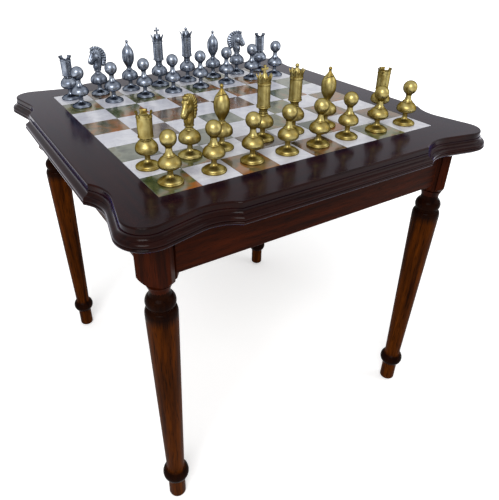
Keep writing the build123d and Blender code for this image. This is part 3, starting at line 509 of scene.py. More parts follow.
class Profile:
    """Half section of a turned piece, drawn point by point as radius and height in mm."""

    def __init__(self, radius: float, height: float) -> None:
        """Starts the outline at one point."""
        self.points: list[Pair] = [(radius, height)]

    def line(self, *points: Pair) -> Profile:
        """Adds straight steps."""
        self.points.extend(points)
        return self

    def curve(self, end: Pair, leave: Pair, arrive: Pair, steps: int = 12) -> Profile:
        """Adds a smooth curve from the last point.

        Args:
            end: where it ends.
            leave: direction in which it starts.
            arrive: direction in which it ends.
            steps: number of straight pieces.

        Returns:
            The profile itself.
        """
        start, stop = Vector(self.points[-1]), Vector(end)
        chord = (stop - start).length
        first, last = Vector(leave).normalized() * chord, Vector(arrive).normalized() * chord
        for k in range(1, steps + 1):
            t = k / steps
            square, cube = t * t, t * t * t
            point = start * (2 * cube - 3 * square + 1) + first * (cube - 2 * square + t)
            point += stop * (3 * square - 2 * cube) + last * (cube - square)
            self.points.append((max(point.x, 0.0), point.y))
        return self

    def ring(self, low: float, high: float, radius: float | None = None) -> Profile:
        """Adds a half-round ring.

        Args:
            low: height of its foot.
            high: height of its top.
            radius: radius at which it ends, or that of the last point.

        Returns:
            The profile itself.
        """
        start = self.points[-1][0]
        end = start if radius is None else radius
        half = (high - low) / 2
        for k in range(1, 10):
            angle = math.pi * k / 9
            base = start + (end - start) * k / 9
            self.points.append((base + half * math.sin(angle), low + half - half * math.cos(angle)))
        self.points[-1] = (end, high)
        return self

    def ball(self, radius: float, middle: float, neck: float) -> Profile:
        """Adds a ball that grows out of a neck and closes on the axis.

        Args:
            radius: radius of the ball.
            middle: height of its middle.
            neck: radius of the neck.

        Returns:
            The profile itself.
        """
        start = math.asin(min(neck / radius, 1.0))
        for k in range(0, 21):
            angle = start + (math.pi - start) * k / 20
            self.points.append((radius * math.sin(angle), middle - radius * math.cos(angle)))
        self.points[-1] = (0.0, middle + radius)
        return self


def spin(shape: bmesh.types.BMesh, points: list[Pair], segments: int = 96) -> None:
    """Turns a half section about the vertical axis into a closed skin.

    Args:
        shape: the mesh that gets the faces.
        points: radius and height pairs in order.
        segments: steps round the axis.
    """
    rings = []
    for radius, height in points:
        if radius < 1e-6:
            rings.append([shape.verts.new((0, 0, height))])
            continue
        turns = [math.tau * k / segments for k in range(segments)]
        circle = [(radius * math.cos(t), radius * math.sin(t), height) for t in turns]
        rings.append([shape.verts.new(point) for point in circle])
    for low, high in zip(rings, rings[1:]):
        for k in range(segments):
            after = (k + 1) % segments
            if len(low) == 1 and len(high) == 1:
                continue
            if len(low) == 1:
                shape.faces.new((low[0], high[after], high[k]))
            elif len(high) == 1:
                shape.faces.new((low[k], low[after], high[0]))
            else:
                shape.faces.new((low[k], low[after], high[after], high[k]))


def loft(
    shape: bmesh.types.BMesh, sections: list[tuple[Vector, Vector, Vector]], segments: int = 32
) -> None:
    """Skins elliptical sections into a closed body.

    Args:
        shape: the mesh that gets the faces.
        sections: centre and the two half axes of each ellipse.
        segments: steps round each ellipse.
    """
    rings = []
    for centre, first, second in sections:
        turns = [math.tau * k / segments for k in range(segments)]
        ellipse = [centre + first * math.cos(t) + second * math.sin(t) for t in turns]
        rings.append([shape.verts.new(point) for point in ellipse])
    for low, high in zip(rings, rings[1:]):
        for k in range(segments):
            after = (k + 1) % segments
            shape.faces.new((low[k], low[after], high[after], high[k]))
    shape.faces.new(rings[0][::-1])
    shape.faces.new(rings[-1])


def ellipsoid(shape: bmesh.types.BMesh, centre: Triple, radii: Triple, lean: float = 0.0) -> None:
    """Adds a smooth ellipsoid.

    Args:
        shape: the mesh that gets it.
        centre: its middle.
        radii: its three half axes.
        lean: degrees by which it leans in the XZ plane.
    """
    place = Matrix.Translation(centre) @ Matrix.Rotation(math.radians(lean), 4, "Y")
    place = place @ Matrix.Diagonal((*radii, 1.0))
    bmesh.ops.create_icosphere(shape, subdivisions=4, radius=1.0, matrix=place)


def block(shape: bmesh.types.BMesh, size: Triple, centre: Triple, turn: Matrix | None = None) -> None:
    """Adds a box of a size about a centre, turned first when asked."""
    place = Matrix.Translation(centre) @ (turn or Matrix.Identity(4)) @ Matrix.Diagonal((*size, 1.0))
    bmesh.ops.create_cube(shape, size=1.0, matrix=place)


def prism(shape: bmesh.types.BMesh, points: list[Pair], reach: float, turn: float) -> None:
    """Adds an upright flat shape.

    Args:
        shape: the mesh that gets it.
        points: its outline in X and Z.
        reach: half its thickness.
        turn: angle about Z by which it is turned.
    """
    spot = Matrix.Rotation(turn, 4, "Z")
    rings = [[shape.verts.new(spot @ Vector((x, y, z))) for x, z in points] for y in (-reach, reach)]
    shape.faces.new(rings[0])
    shape.faces.new(rings[1][::-1])
    for k in range(len(points)):
        after = (k + 1) % len(points)
        shape.faces.new((rings[0][k], rings[1][k], rings[1][after], rings[0][after]))


def foot_centre(node: bpy.types.Object) -> Vector:
    """Finds the middle of the round foot on which a man stands.

    Args:
        node: the plain man.

    Returns:
        X and Y in metres.
    """
    foot = [v.co for v in node.data.vertices if v.co.z < (BOARD_TOP + 3) * MM]
    low = Vector((min(v.x for v in foot), min(v.y for v in foot)))
    high = Vector((max(v.x for v in foot), max(v.y for v in foot)))
    return (low + high) / 2


def as_object(name: str, shape: bmesh.types.BMesh) -> bpy.types.Object:
    """Turns a finished shape into an object in the scene.

    Args:
        name: name of the object.
        shape: the shape, which is freed.

    Returns:
        The object.
    """
    bmesh.ops.recalc_face_normals(shape, faces=shape.faces)
    mesh = bpy.data.meshes.new(name)
    shape.to_mesh(mesh)
    shape.free()
    made = bpy.data.objects.new(name, mesh)
    bpy.context.scene.collection.objects.link(made)
    return made


def settle(made: bpy.types.Object) -> None:
    """Replaces an object's mesh by what its modifiers give.

    Args:
        made: the object.
    """
    bpy.context.view_layer.update()
    graph = bpy.context.evaluated_depsgraph_get()
    old = made.data
    made.data = bpy.data.meshes.new_from_object(made.evaluated_get(graph))
    made.modifiers.clear()
    bpy.data.meshes.remove(old)


def combine(made: bpy.types.Object, other: bpy.types.Object, operation: str) -> None:
    """Joins or cuts one object with another, which is then removed.

    Args:
        made: the object that stays.
        other: the object that goes.
        operation: UNION or DIFFERENCE.
    """
    modifier = made.modifiers.new(operation, "BOOLEAN")
    modifier.operation = operation
    modifier.solver = "EXACT"
    modifier.object = other
    settle(made)
    mesh = other.data
    bpy.data.objects.remove(other)
    bpy.data.meshes.remove(mesh)


def soften(made: bpy.types.Object, width: float, segments: int = 2, angle: float = 32.0) -> None:
    """Rounds the sharp edges of an object.

    Args:
        made: the object.
        width: width of the rounding.
        segments: steps across it.
        angle: least angle in degrees of an edge that is rounded.
    """
    modifier = made.modifiers.new("round", "BEVEL")
    modifier.width = width
    modifier.segments = segments
    modifier.limit_method = "ANGLE"
    modifier.angle_limit = math.radians(angle)
    settle(made)


def finish_mesh(made: bpy.types.Object, sharp: float = 32.0) -> bpy.types.Mesh:
    """Takes the mesh off its object, in metres and smooth up to an angle.

    Args:
        made: the object, which is removed.
        sharp: angle in degrees from which an edge stays sharp.

    Returns:
        The mesh.
    """
    mesh = made.data
    bpy.data.objects.remove(made)
    mesh.transform(Matrix.Scale(MM, 4))
    mesh.shade_smooth()
    mesh.set_sharp_from_angle(angle=math.radians(sharp))
    return mesh


# ---------------------------------------------------------------- chessmen


@dataclass
class Chessman:
    """A chessman turned on a dished base with an onion-shaped bulb."""

    base: float = 17.9
    bulb: float = 15.6
    bulb_height: float = 27.0
    collar_foot: float = 40.5
    collar: float = 7.6
    rim_height: float = 2.2
    dome_inset: float = 6.8
    dome_height: float = 6.9
    stem: float = 4.0
    stem_foot: float = 12.8
    stem_top: float = 20.0
    ring: float = 1.6
    felt: float = 0.8
    felt_inset: float = 2.4
    meshes: dict[str, bpy.types.Mesh] = field(default_factory=dict, repr=False)

    def pedestal(self) -> Profile:
        """Draws the foot that all the men share.

        Returns:
            The outline from the felt recess to the top of the collar.
        """
        edge, base, rim = self.base - self.felt_inset, self.base, self.rim_height
        outline = Profile(0.0, self.felt).line((edge, self.felt), (edge, 0.25), (edge + 0.25, 0.0))
        # The rim, its rounded top and a small step.
        outline.line((base - 0.8, 0.0), (base - 0.25, 0.2), (base, 0.8), (base, rim))
        outline.curve((base - 1.4, rim + 1.4), (0, 1), (-1, 0.15), 6)
        outline.line((base - 1.9, rim + 1.3), (base - 2.2, rim + 1.6))
        # The dome, sweeping up into the stem.
        outline.curve((base - self.dome_inset, self.dome_height), (-0.45, 1), (-1, 0.45), 8)
        outline.curve((self.stem + 1.2, self.stem_foot - 2.9), (-1, 0.45), (-0.7, 1), 6)
        outline.curve((self.stem, self.stem_foot), (-0.7, 1), (0, 1), 5)
        outline.line((self.stem, self.stem_top - 1.6))
        outline.ring(self.stem_top - 1.6, self.stem_top - 0.6, self.stem)
        # The bulb, its shoulder and the ring on its collar.
        outline.curve((self.bulb, self.bulb_height), (1, 0.08), (0, 1), 20)
        shoulder = self.bulb_height + 0.55 * (self.collar_foot - self.bulb_height)
        outline.curve((0.87 * self.bulb, shoulder), (0, 1), (-0.8, 1), 10)
        outline.curve((self.collar - 0.2, self.collar_foot - 0.3), (-0.8, 1), (-1, 0.6), 10)
        outline.ring(self.collar_foot, self.collar_foot + self.ring, self.collar - self.ring)
        return outline

    def shape(self) -> bpy.types.Object:
        """Builds the metal piece, standing on the origin."""
        raise NotImplementedError

    def turned(self, outline: Profile) -> bpy.types.Object:
        """Closes an outline on its axis and turns it.

        Args:
            outline: the half section, ending on the axis.

        Returns:
            The turned piece.
        """
        outline.line((0.0, self.felt))
        shape = bmesh.new()
        spin(shape, outline.points)
        return as_object(type(self).__name__.lower(), shape)

    def felt_disc(self) -> bpy.types.Object:
        """Cuts the felt that is glued in the recess of the base.

        Returns:
            The disc, with a slightly rounded edge.
        """
        radius, top = self.base - self.felt_inset - 0.3, self.felt - 0.04
        shape = bmesh.new()
        outline = [(0, 0.05), (radius - 0.2, 0.05), (radius, 0.2), (radius, top - 0.04), (0, top)]
        spin(shape, outline)
        return as_object("felt", shape)

    def mesh(self, part: str) -> bpy.types.Mesh:
        """Gives the mesh that the men of one kind share, built once.

        Args:
            part: casting or felt.

        Returns:
            The mesh.
        """
        if part not in self.meshes:
            self.meshes[part] = finish_mesh(self.shape() if part == "casting" else self.felt_disc())
        return self.meshes[part]

    def place(self, name: str, node: bpy.types.Object, finish: Finish, facing: float) -> None:
        """Stands one man where its plain counterpart stands.

        Args:
            name: the man's node and piece name.
            node: the plain counterpart.
            finish: metal of its side.
            facing: heading in degrees.
        """
        spot = foot_centre(node)
        for part in ("casting", "felt"):
            made = bpy.data.objects.new(f"{name}_{part}", self.mesh(part).copy())
            bpy.context.scene.collection.objects.link(made)
            made.location = (spot.x, spot.y, BOARD_TOP * MM)
            made.rotation_euler = (0, 0, math.radians(facing))
            paint(made, finish.material if part == "casting" else finish.felt)
            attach(made, f"{name}_body")
            if part == "casting":
                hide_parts(name)
        LOG.info("%s: %s at %.1f, %.1f mm", name, type(self).__name__, spot.x / MM, spot.y / MM)


@dataclass
class Pawn(Chessman):
    """Pawn with a pear-shaped head."""

    ball: float = 11.0
    neck: float = 4.4
    neck_height: float = 48.6
    height: float = 73.2

    def shape(self) -> bpy.types.Object:
        """Builds the pawn.

        Returns:
            The pawn, standing on the origin.
        """
        outline = self.pedestal()
        middle = self.height - self.ball
        outline.curve((self.neck, self.neck_height), (-0.6, 1), (0, 1), 10)
        outline.ring(self.neck_height, self.neck_height + 0.8, self.neck + 0.2)
        outline.curve((0.79 * self.ball, middle - 0.66 * self.ball), (0.35, 1), (0.8, 1), 10)
        outline.curve((self.ball, middle), (0.8, 1), (0, 1), 8)
        for k in range(1, 17):
            angle = math.pi / 2 * k / 16
            outline.line((self.ball * math.cos(angle), middle + self.ball * math.sin(angle)))
        outline.points[-1] = (0.0, self.height)
        return self.turned(outline)


@dataclass
class Rook(Chessman):
    """Rook with a straight tower and a flared battlement of four merlons."""

    tower: float = 9.8
    tower_foot: float = 44.6
    tower_top: float = 74.0
    rim: float = 13.0
    height: float = 80.6
    wall: float = 2.6
    gap: float = 8.0
    depth: float = 6.2
    cutter_reach: float = 20.0

    def shape(self) -> bpy.types.Object:
        """Builds the rook.

        Returns:
            The rook, standing on the origin.
        """
        outline = self.pedestal()
        outline.line((self.collar - 0.9, self.tower_foot - 0.6))
        outline.curve((self.tower - 0.5, self.tower_foot), (1, 0.1), (1, 0.5), 4)
        outline.ring(self.tower_foot, self.tower_foot + 1.4, self.tower - 0.3)
        outline.line((self.tower, self.tower_top - 1.4))
        outline.ring(self.tower_top - 1.4, self.tower_top, self.tower - 0.1)
        outline.line((self.tower - 0.1, self.tower_top + 0.3))
        outline.curve((self.rim, self.height - 0.5), (0.1, 1), (0.95, 1), 10)
        outline.line((self.rim - 0.1, self.height), (self.rim - self.wall, self.height))
        floor = self.height - self.depth - 0.6
        outline.curve((self.tower - self.wall, floor + 0.6), (-0.95, -1), (-0.1, -1), 8)
        outline.line((self.tower - self.wall - 0.4, floor), (0.0, floor - 0.2))
        tower = self.turned(outline)
        half = self.gap / 2
        low = self.height - self.depth + half
        angles = [math.pi + math.pi * k / 16 for k in range(17)]
        slot = [(half * math.cos(a), low + half * math.sin(a)) for a in angles]
        slot += [(half, self.height + 3), (-half, self.height + 3)]
        for turn in (0.0, math.pi / 2):
            cutter = bmesh.new()
            prism(cutter, slot, self.cutter_reach, turn)
            combine(tower, as_object("slot", cutter), "DIFFERENCE")
        soften(tower, 0.25)
        return tower


@dataclass
class Bishop(Chessman):
    """Bishop with a tall egg, a slanting saw cut and a ball."""

    neck: float = 4.9
    neck_height: float = 45.6
    egg: float = 12.2
    egg_foot: float = 54.8
    widest: float = 69.0
    egg_top: float = 82.8
    tip: float = 91.4
    ball: float = 3.0
    height: float = 98.2
    slit: float = 1.0
    slit_height: float = 80.4
    slit_slope: float = 28.0

    def shape(self) -> bpy.types.Object:
        """Builds the bishop.

        Returns:
            The bishop, standing on the origin.
        """
        outline = self.pedestal()
        middle = self.height - self.ball
        outline.curve((self.neck, self.neck_height), (-0.5, 1), (0, 1), 5)
        outline.ring(self.neck_height, self.neck_height + 0.8, self.neck + 0.3)
        outline.curve((0.81 * self.egg, self.egg_foot), (0.6, 1), (0.5, 1), 10)
        outline.curve((self.egg, self.widest), (0.5, 1), (0, 1), 12)
        outline.curve((0.64 * self.egg, self.egg_top), (0, 1), (-0.78, 1), 12)
        outline.curve((2.2, self.tip), (-0.78, 1), (-0.35, 1), 8)
        outline.ring(self.tip, self.tip + 0.9, 2.0)
        outline.ball(self.ball, middle, 2.0)
        body = self.turned(outline)
        cutter = bmesh.new()
        turn = Matrix.Rotation(math.radians(-self.slit_slope), 4, "Y")
        reach = self.egg + 4
        centre = turn @ Vector((reach / 2, 0, 0)) + Vector((0, 0, self.slit_height))
        block(cutter, (reach, 40, self.slit), centre, turn)
        combine(body, as_object("slit", cutter), "DIFFERENCE")
        soften(body, 0.15)
        return body


@dataclass
class Royal(Chessman):
    """What a king and queen share: a ringed drum under a crown of pointed leaves."""

    base: float = 19.3
    bulb: float = 17.0
    bulb_height: float = 27.0
    collar_foot: float = 41.0
    collar: float = 8.0
    drum: float = 10.2
    disc: float = 11.3
    drum_foot: float = 52.2
    drum_top: float = 87.0
    crown: float = 13.6
    valley: float = 92.0
    crown_top: float = 102.4
    wall: float = 1.7
    leaves: int = 8
    leaf_steps: int = 20
    leaf_levels: int = 14
    cap_top: float = 104.2

    def drum_outline(self) -> Profile:
        """Draws what lies below the leaves.

        Returns:
            The outline of the pedestal and the drum.
        """
        outline = self.pedestal()
        upper_ring = self.collar_foot + 3.6
        outline.line((self.collar - 1.1, upper_ring))
        outline.ring(upper_ring, upper_ring + 1.0, self.collar - 1.7)
        # The drum stands on a disc, with a ring round its foot.
        drum, foot, top = self.drum, self.drum_foot, self.drum_top
        outline.curve((self.disc - 1.0, foot), (0, 1), (1, 0.3), 8)
        outline.ring(foot, foot + 2.0, drum)
        outline.line((drum, foot + 3.6))
        outline.ring(foot + 3.6, foot + 4.6, drum - 0.15)
        # A groove and a band under the leaves.
        outline.line((drum - 0.15, top - 1.2), (drum - 0.7, top - 0.9))
        outline.line((drum - 0.7, top + 0.3), (drum + 0.5, top + 0.7))
        outline.line((drum + 0.5, top + 3.2), (drum - 0.1, top + 3.5))
        return outline

    def inner_cap(self, outline: Profile, end: float) -> None:
        """Adds the domed cap that rises inside the crown.

        Args:
            outline: the outline that gets it.
            end: radius at which it ends.
        """
        outline.line((self.drum - 2.0, self.drum_top + 3.6))
        outline.curve((self.drum - 2.6, self.drum_top + 6.6), (0, 1), (-0.25, 1), 5)
        outline.curve((end, self.cap_top), (-0.25, 1), (-0.75, 1), 12)

    def leaf_ring(self, share: float, inner: bool) -> list[Vector]:
        """Draws one ring of points round the crown.

        Args:
            share: how far up the leaves it runs, from 0 to 1.
            inner: whether it lies on the inner skin.

        Returns:
            The points, which follow the leaves up to their tips.
        """
        foot, tip = self.drum_top + 2.6, self.crown_top
        around = self.leaf_steps * self.leaves
        points = []
        for k in range(around):
            aside = (k / self.leaf_steps + 0.5) % 1.0 - 0.5
            top = self.valley + (tip - self.valley) * (1.0 - 2 * abs(aside)) ** 0.6
            height = foot + (top - foot) * share
            rise = (height - foot) / (tip - foot)
            radius = self.drum - 0.1 + (self.crown - self.drum + 0.1) * rise**1.6
            if inner:
                radius -= self.wall * (1.0 - 0.5 * rise)
            else:
                radius += 1.6 * math.exp(-((aside / 0.09) ** 2)) * rise * (1 - rise) - 0.2
            angle = math.tau * k / around
            points.append(Vector((radius * math.cos(angle), radius * math.sin(angle), height)))
        return points

    def add_crown(self, body: bpy.types.Object) -> None:
        """Adds the ring of leaves, each pointed, curved outward and ribbed down its middle.

        Args:
            body: the turned piece that gets them.
        """
        shape = bmesh.new()
        rises = [level / self.leaf_levels for level in range(self.leaf_levels + 1)]
        outer, inner = [
            [[shape.verts.new(point) for point in self.leaf_ring(rise, skin)] for rise in rises]
            for skin in (False, True)
        ]
        steps = [(k, (k + 1) % len(outer[0])) for k in range(len(outer[0]))]
        for low, high in zip(outer, outer[1:]):
            for k, after in steps:
                shape.faces.new((low[k], low[after], high[after], high[k]))
        for low, high in zip(inner, inner[1:]):
            for k, after in steps:
                shape.faces.new((high[k], high[after], low[after], low[k]))
        for k, after in steps:
            shape.faces.new((outer[-1][k], outer[-1][after], inner[-1][after], inner[-1][k]))
            shape.faces.new((outer[0][k], inner[0][k], inner[0][after], outer[0][after]))
        combine(body, as_object("crown", shape), "UNION")


@dataclass
class King(Royal):
    """King with a flared cross."""

    height: float = 115.6
    arm: float = 2.8
    reach: float = 5.6

    def shape(self) -> bpy.types.Object:
        """Builds the king.

        Returns:
            The king, standing on the origin.
        """
        outline = self.drum_outline()
        self.inner_cap(outline, 1.9)
        outline.line((0.0, self.cap_top))
        body = self.turned(outline)
        self.add_crown(body)
        self.add_cross(body)
        return body

    def add_cross(self, body: bpy.types.Object) -> None:
        """Adds the flared cross on its block.

        Args:
            body: the piece that gets it.
        """
        cross = bmesh.new()
        middle = self.height - self.reach
        waist, flare = self.arm * 0.42, self.arm * 0.74
        quarter = [(waist, waist), (self.reach - 0.3, flare), (self.reach, flare * 0.8)]
        quarter += [(self.reach, -flare * 0.8), (self.reach - 0.3, -flare)]
        points = []
        for turn in range(4):
            c, s = math.cos(turn * math.pi / 2), math.sin(turn * math.pi / 2)
            points += [(x * c + y * s, middle - x * s + y * c) for x, y in quarter]
        prism(cross, points, self.arm / 2, 0.0)
        block(cross, (self.arm * 0.9, self.arm * 0.9, 4), (0, 0, self.cap_top + 0.4))
        made = as_object("cross", cross)
        soften(made, 0.25, angle=30)
        combine(body, made, "UNION")


@dataclass
class Queen(Royal):
    """Queen with a ball on a pin."""

    height: float = 109.8
    ball: float = 3.2

    def shape(self) -> bpy.types.Object:
        """Builds the queen.

        Returns:
            The queen, standing on the origin.
        """
        outline = self.drum_outline()
        self.inner_cap(outline, 2.0)
        middle = self.height - self.ball
        outline.line((1.5, self.cap_top + 0.3))
        outline.ball(self.ball, middle, 1.5)
        body = self.turned(outline)
        self.add_crown(body)
        return body


# A horse's head seen from the side: X is forward and the second number is height. Each row of the
# body has its front point, its back point and its half width.
HORSE_NECK = (
    ((7.0, 47.6), (-7.2, 47.6), 6.6),
    ((7.2, 51.8), (-9.0, 52.2), 6.6),
    ((7.3, 56.0), (-11.2, 58.2), 6.5),
    ((6.8, 61.0), (-13.2, 65.4), 6.1),
    ((7.2, 66.0), (-13.8, 72.4), 5.8),
    ((8.4, 71.6), (-12.0, 79.4), 5.3),
    ((9.4, 77.6), (-8.0, 85.4), 4.8),
    ((9.6, 83.0), (-2.4, 88.6), 4.2),
)
HORSE_FACE = (
    ((8.4, 89.6), (1.8, 87.6), 2.6),
    ((9.8, 87.4), (-0.6, 82.6), 4.3),
    ((10.9, 84.0), (-1.4, 77.6), 5.1),
    ((12.4, 79.6), (-0.6, 72.0), 5.2),
    ((14.6, 75.8), (2.0, 66.4), 4.9),
    ((16.6, 72.2), (5.2, 62.6), 4.4),
    ((18.4, 69.0), (8.2, 60.2), 4.1),
    ((19.4, 66.0), (10.0, 58.8), 4.0),
    ((19.0, 63.0), (11.4, 58.2), 3.3),
    ((17.4, 61.0), (12.2, 58.6), 2.0),
)
HORSE_EAR = (
    ((5.2, 86.4), (1.2, 86.6), 1.6),
    ((5.0, 88.8), (0.8, 89.4), 1.4),
    ((4.2, 91.0), (1.6, 91.6), 0.9),
    ((3.3, 92.7), (2.7, 92.9), 0.3),
)
# Swellings on both sides, as middle, half axes and lean: jaw, brow, nostril, cheek bone, throat.
HORSE_MUSCLES = (
    ((2.6, 3.0, 72.6), (7.6, 3.7, 6.8), -20),
    ((8.6, 4.0, 83.2), (3.0, 1.5, 1.4), 50),
    ((16.2, 2.6, 66.2), (2.2, 1.6, 1.7), 50),
    ((11.0, 3.4, 72.2), (6.4, 1.3, 1.2), 52),
    ((4.2, 2.6, 54.5), (3.4, 3.4, 6.0), -6),
)
HORSE_CHIN = ((11.4, 0, 60.9), (2.2, 2.5, 2.0), 40)
# Hollows on both sides: nostril, eye socket and ear.
HORSE_HOLLOWS = (
    ((18.2, 3.9, 65.4), (1.2, 0.9, 0.8), 60),
    ((8.4, 5.3, 80.6), (1.9, 0.9, 1.3), 50),
    ((3.4, 4.3, 89.4), (0.7, 0.8, 2.0), -8),
)
HORSE_EYE = ((8.4, 4.6, 80.7), (1.2, 0.8, 0.9), 50)
# Locks of the mane from the withers to the forelock, each with its root and its tip.
MANE = (
    ((-11.4, 60.2), (-16.4, 54.0)),
    ((-11.8, 62.6), (-19.8, 58.4)),
    ((-12.2, 66.2), (-21.9, 63.8)),
    ((-12.0, 70.0), (-22.6, 69.8)),
    ((-10.8, 73.6), (-21.8, 75.8)),
    ((-8.8, 77.0), (-19.2, 81.2)),
    ((-6.2, 80.0), (-15.2, 85.8)),
    ((-3.2, 82.4), (-10.0, 89.2)),
    ((0.4, 84.0), (-4.2, 91.4)),
    ((4.0, 85.0), (1.6, 92.0)),
    ((7.4, 84.6), (7.6, 91.0)),
)
# How full a lock is at each share of its length.
LOCK_FULLNESS = ((0, 0.5), (0.15, 0.8), (0.4, 0.95), (0.75, 1.0), (0.9, 0.92), (0.97, 0.7), (1.0, 0.3))


def section(front: Pair, back: Pair, width: float, aside: float = 0.0) -> tuple[Vector, Vector, Vector]:
    """Draws an ellipse across the horse.

    Args:
        front: its front point in the side view.
        back: its back point.
        width: its half width.
        aside: how far it lies from the middle plane.

    Returns:
        Its centre and its two half axes.
    """
    middle = Vector(((front[0] + back[0]) / 2, aside, (front[1] + back[1]) / 2))
    half = Vector(((front[0] - back[0]) / 2, 0, (front[1] - back[1]) / 2))
    return (middle, half, Vector((0, width, 0)))


def halfway(first: Pair, second: Pair) -> Vector:
    """Finds the middle between two points of the side view."""
    return Vector(((first[0] + second[0]) / 2, 0, (first[1] + second[1]) / 2))


def beside(
    shape: bmesh.types.BMesh, side: int, middle: Triple, radii: Triple, lean: float
) -> None:
    """Adds an ellipsoid on one side of the horse.

    Args:
        shape: the mesh that gets it.
        side: 1, or -1 for the mirror image.
        middle: its middle on side 1.
        radii: half axes.
        lean: lean in degrees.
    """
    ellipsoid(shape, (middle[0], side * middle[1], middle[2]), radii, lean)


@dataclass
class Knight(Chessman):
    """Knight: a horse's head and neck with a combed mane, over a small plinth."""

    plinth: float = 48.4
    plinth_radius: float = 7.8
    ear_aside: float = 3.1
    lock_thick: float = 4.0
    lock_width: float = 4.4
    groove: Triple = (5.2, 1.5, 0.5)
    groove_aside: float = 4.7
    mouth: Triple = (7.6, 12.0, 0.8)
    mouth_at: Triple = (16.6, 0.0, 61.9)
    mouth_slope: float = 8.0
    voxel: float = 0.26

    def shape(self) -> bpy.types.Object:
        """Builds the knight.

        Returns:
            The knight, standing on the origin.
        """
        outline = self.pedestal()
        radius, top = self.plinth_radius - 0.7, self.plinth
        outline.curve((radius - 0.9, top - 2.2), (-0.3, 1), (1, 0.6), 6)
        outline.ring(top - 2.2, top - 0.5, radius)
        outline.line((radius, top), (0.0, top))
        stand = self.turned(outline)
        horse = self.horse()
        self.carve(horse)
        self.melt(horse, 1)
        combine(stand, horse, "UNION")
        return stand

    def horse(self) -> bpy.types.Object:
        """Models the head, neck and mane.

        Returns:
            The horse, before it is carved.
        """
        head = bmesh.new()
        loft(head, [section(*row) for row in HORSE_NECK])
        loft(head, [section(*row) for row in HORSE_FACE])
        for side in (-1, 1):
            for muscle in HORSE_MUSCLES:
                beside(head, side, *muscle)
            loft(head, [section(*row, aside=side * self.ear_aside) for row in HORSE_EAR])
        ellipsoid(head, *HORSE_CHIN)
        for root, tip in MANE:
            self.lock(head, root, tip)
        made = as_object("horse", head)
        self.melt(made, 2)
        return made

    def lock(self, shape: bmesh.types.BMesh, root: Pair, tip: Pair) -> None:
        """Adds one lock of the mane.

        Args:
            shape: the mesh that gets it.
            root: where it grows, in the side view.
            tip: its rounded tip.
        """
        start = Vector((root[0], 0, root[1]))
        along = Vector((tip[0] - root[0], 0, tip[1] - root[1]))
        across = along.normalized().cross(Vector((0, 1, 0))) * self.lock_thick
        rows = []
        for share, full in LOCK_FULLNESS:
            aside = Vector((0, self.lock_width * full, 0))
            rows.append((start + along * share, across * full, aside))
        loft(shape, rows, 20)

    def carve(self, horse: bpy.types.Object) -> None:
        """Cuts the nostrils, sockets, ears, mouth and mane, and sets the eyes.

        Args:
            horse: the horse.
        """
        cuts = bmesh.new()
        for side in (-1, 1):
            for hollow in HORSE_HOLLOWS:
                beside(cuts, side, *hollow)
            for (root, tip), (next_root, next_tip) in zip(MANE, MANE[1:]):
                start, end = halfway(root, next_root), halfway(tip, next_tip)
                lean = -math.degrees(math.atan2(end.z - start.z, end.x - start.x))
                middle = end * 0.55 + start * 0.45
                at = (middle.x, self.groove_aside, middle.z)
                beside(cuts, side, at, self.groove, lean)
        slope = Matrix.Rotation(math.radians(self.mouth_slope), 4, "Y")
        block(cuts, self.mouth, self.mouth_at, slope)
        combine(horse, as_object("cuts", cuts), "DIFFERENCE")
        eyes = bmesh.new()
        for side in (-1, 1):
            beside(eyes, side, *HORSE_EYE)
        combine(horse, as_object("eyes", eyes), "UNION")

    def melt(self, made: bpy.types.Object, passes: int) -> None:
        """Fuses overlapping bodies into one cast skin and softens it.

        Args:
            made: the object.
            passes: how often the skin is smoothed.
        """
        remesh = made.modifiers.new("fuse", "REMESH")
        remesh.mode = "VOXEL"
        remesh.voxel_size = self.voxel
        smooth = made.modifiers.new("soften", "SMOOTH")
        smooth.factor = 0.5
        smooth.iterations = passes
        settle(made)


# ---------------------------------------------------------------- table


def paint(node: bpy.types.Object, *materials: bpy.types.Material) -> None:
    """Puts materials in place of whatever a node wears.

    Args:
        node: the node.
        materials: one for each of its slots.
    """
    node.data.materials.clear()
    for material in materials:
        node.data.materials.append(material)


@dataclass
class Finish:
    """Metal of one side, its felt and its slot in the record."""

    slot: str
    material: bpy.types.Material
    felt: bpy.types.Material


@dataclass
class StoneBoard:
    """Board of marble and onyx squares let into the top."""

    squares: int = 8
    # Colourings of the dark squares by their first letters, row by row from the front.
    layout: tuple[str, ...] = (
        "M.H.C.O.",
        ".O.P.M.C",
        "S.S.O.H.",
        ".P.S.O.H",
        "H.C.C.M.",
        ".M.C.H.S",
        "O.O.M.H.",
        ".C.S.O.P",
    )

    def dress(self, nodes: dict[str, bpy.types.Object]) -> None:
        """Gives every dark square its own stone, and the rest white marble.

        Args:
            nodes: the nodes of the frame by name.
        """
        initials = [kind.name[0] for kind in Onyx]
        stones = [kind.value.build(f"onyx_{kind.name.lower()}_polished") for kind in Onyx]
        dark = nodes["dark_tiles"]
        paint(dark, *stones)
        for face in dark.data.polygons:
            column = int(face.center.x / (SQUARE * MM) + self.squares / 2)
            row = int(face.center.y / (SQUARE * MM) + self.squares / 2)
            face.material_index = initials.index(self.layout[row][column])
        paint(nodes["light_tiles"], WhiteMarble().build("marble_white_polished"))
        LOG.info("board: %d dark faces over %d stones", len(dark.data.polygons), len(stones))


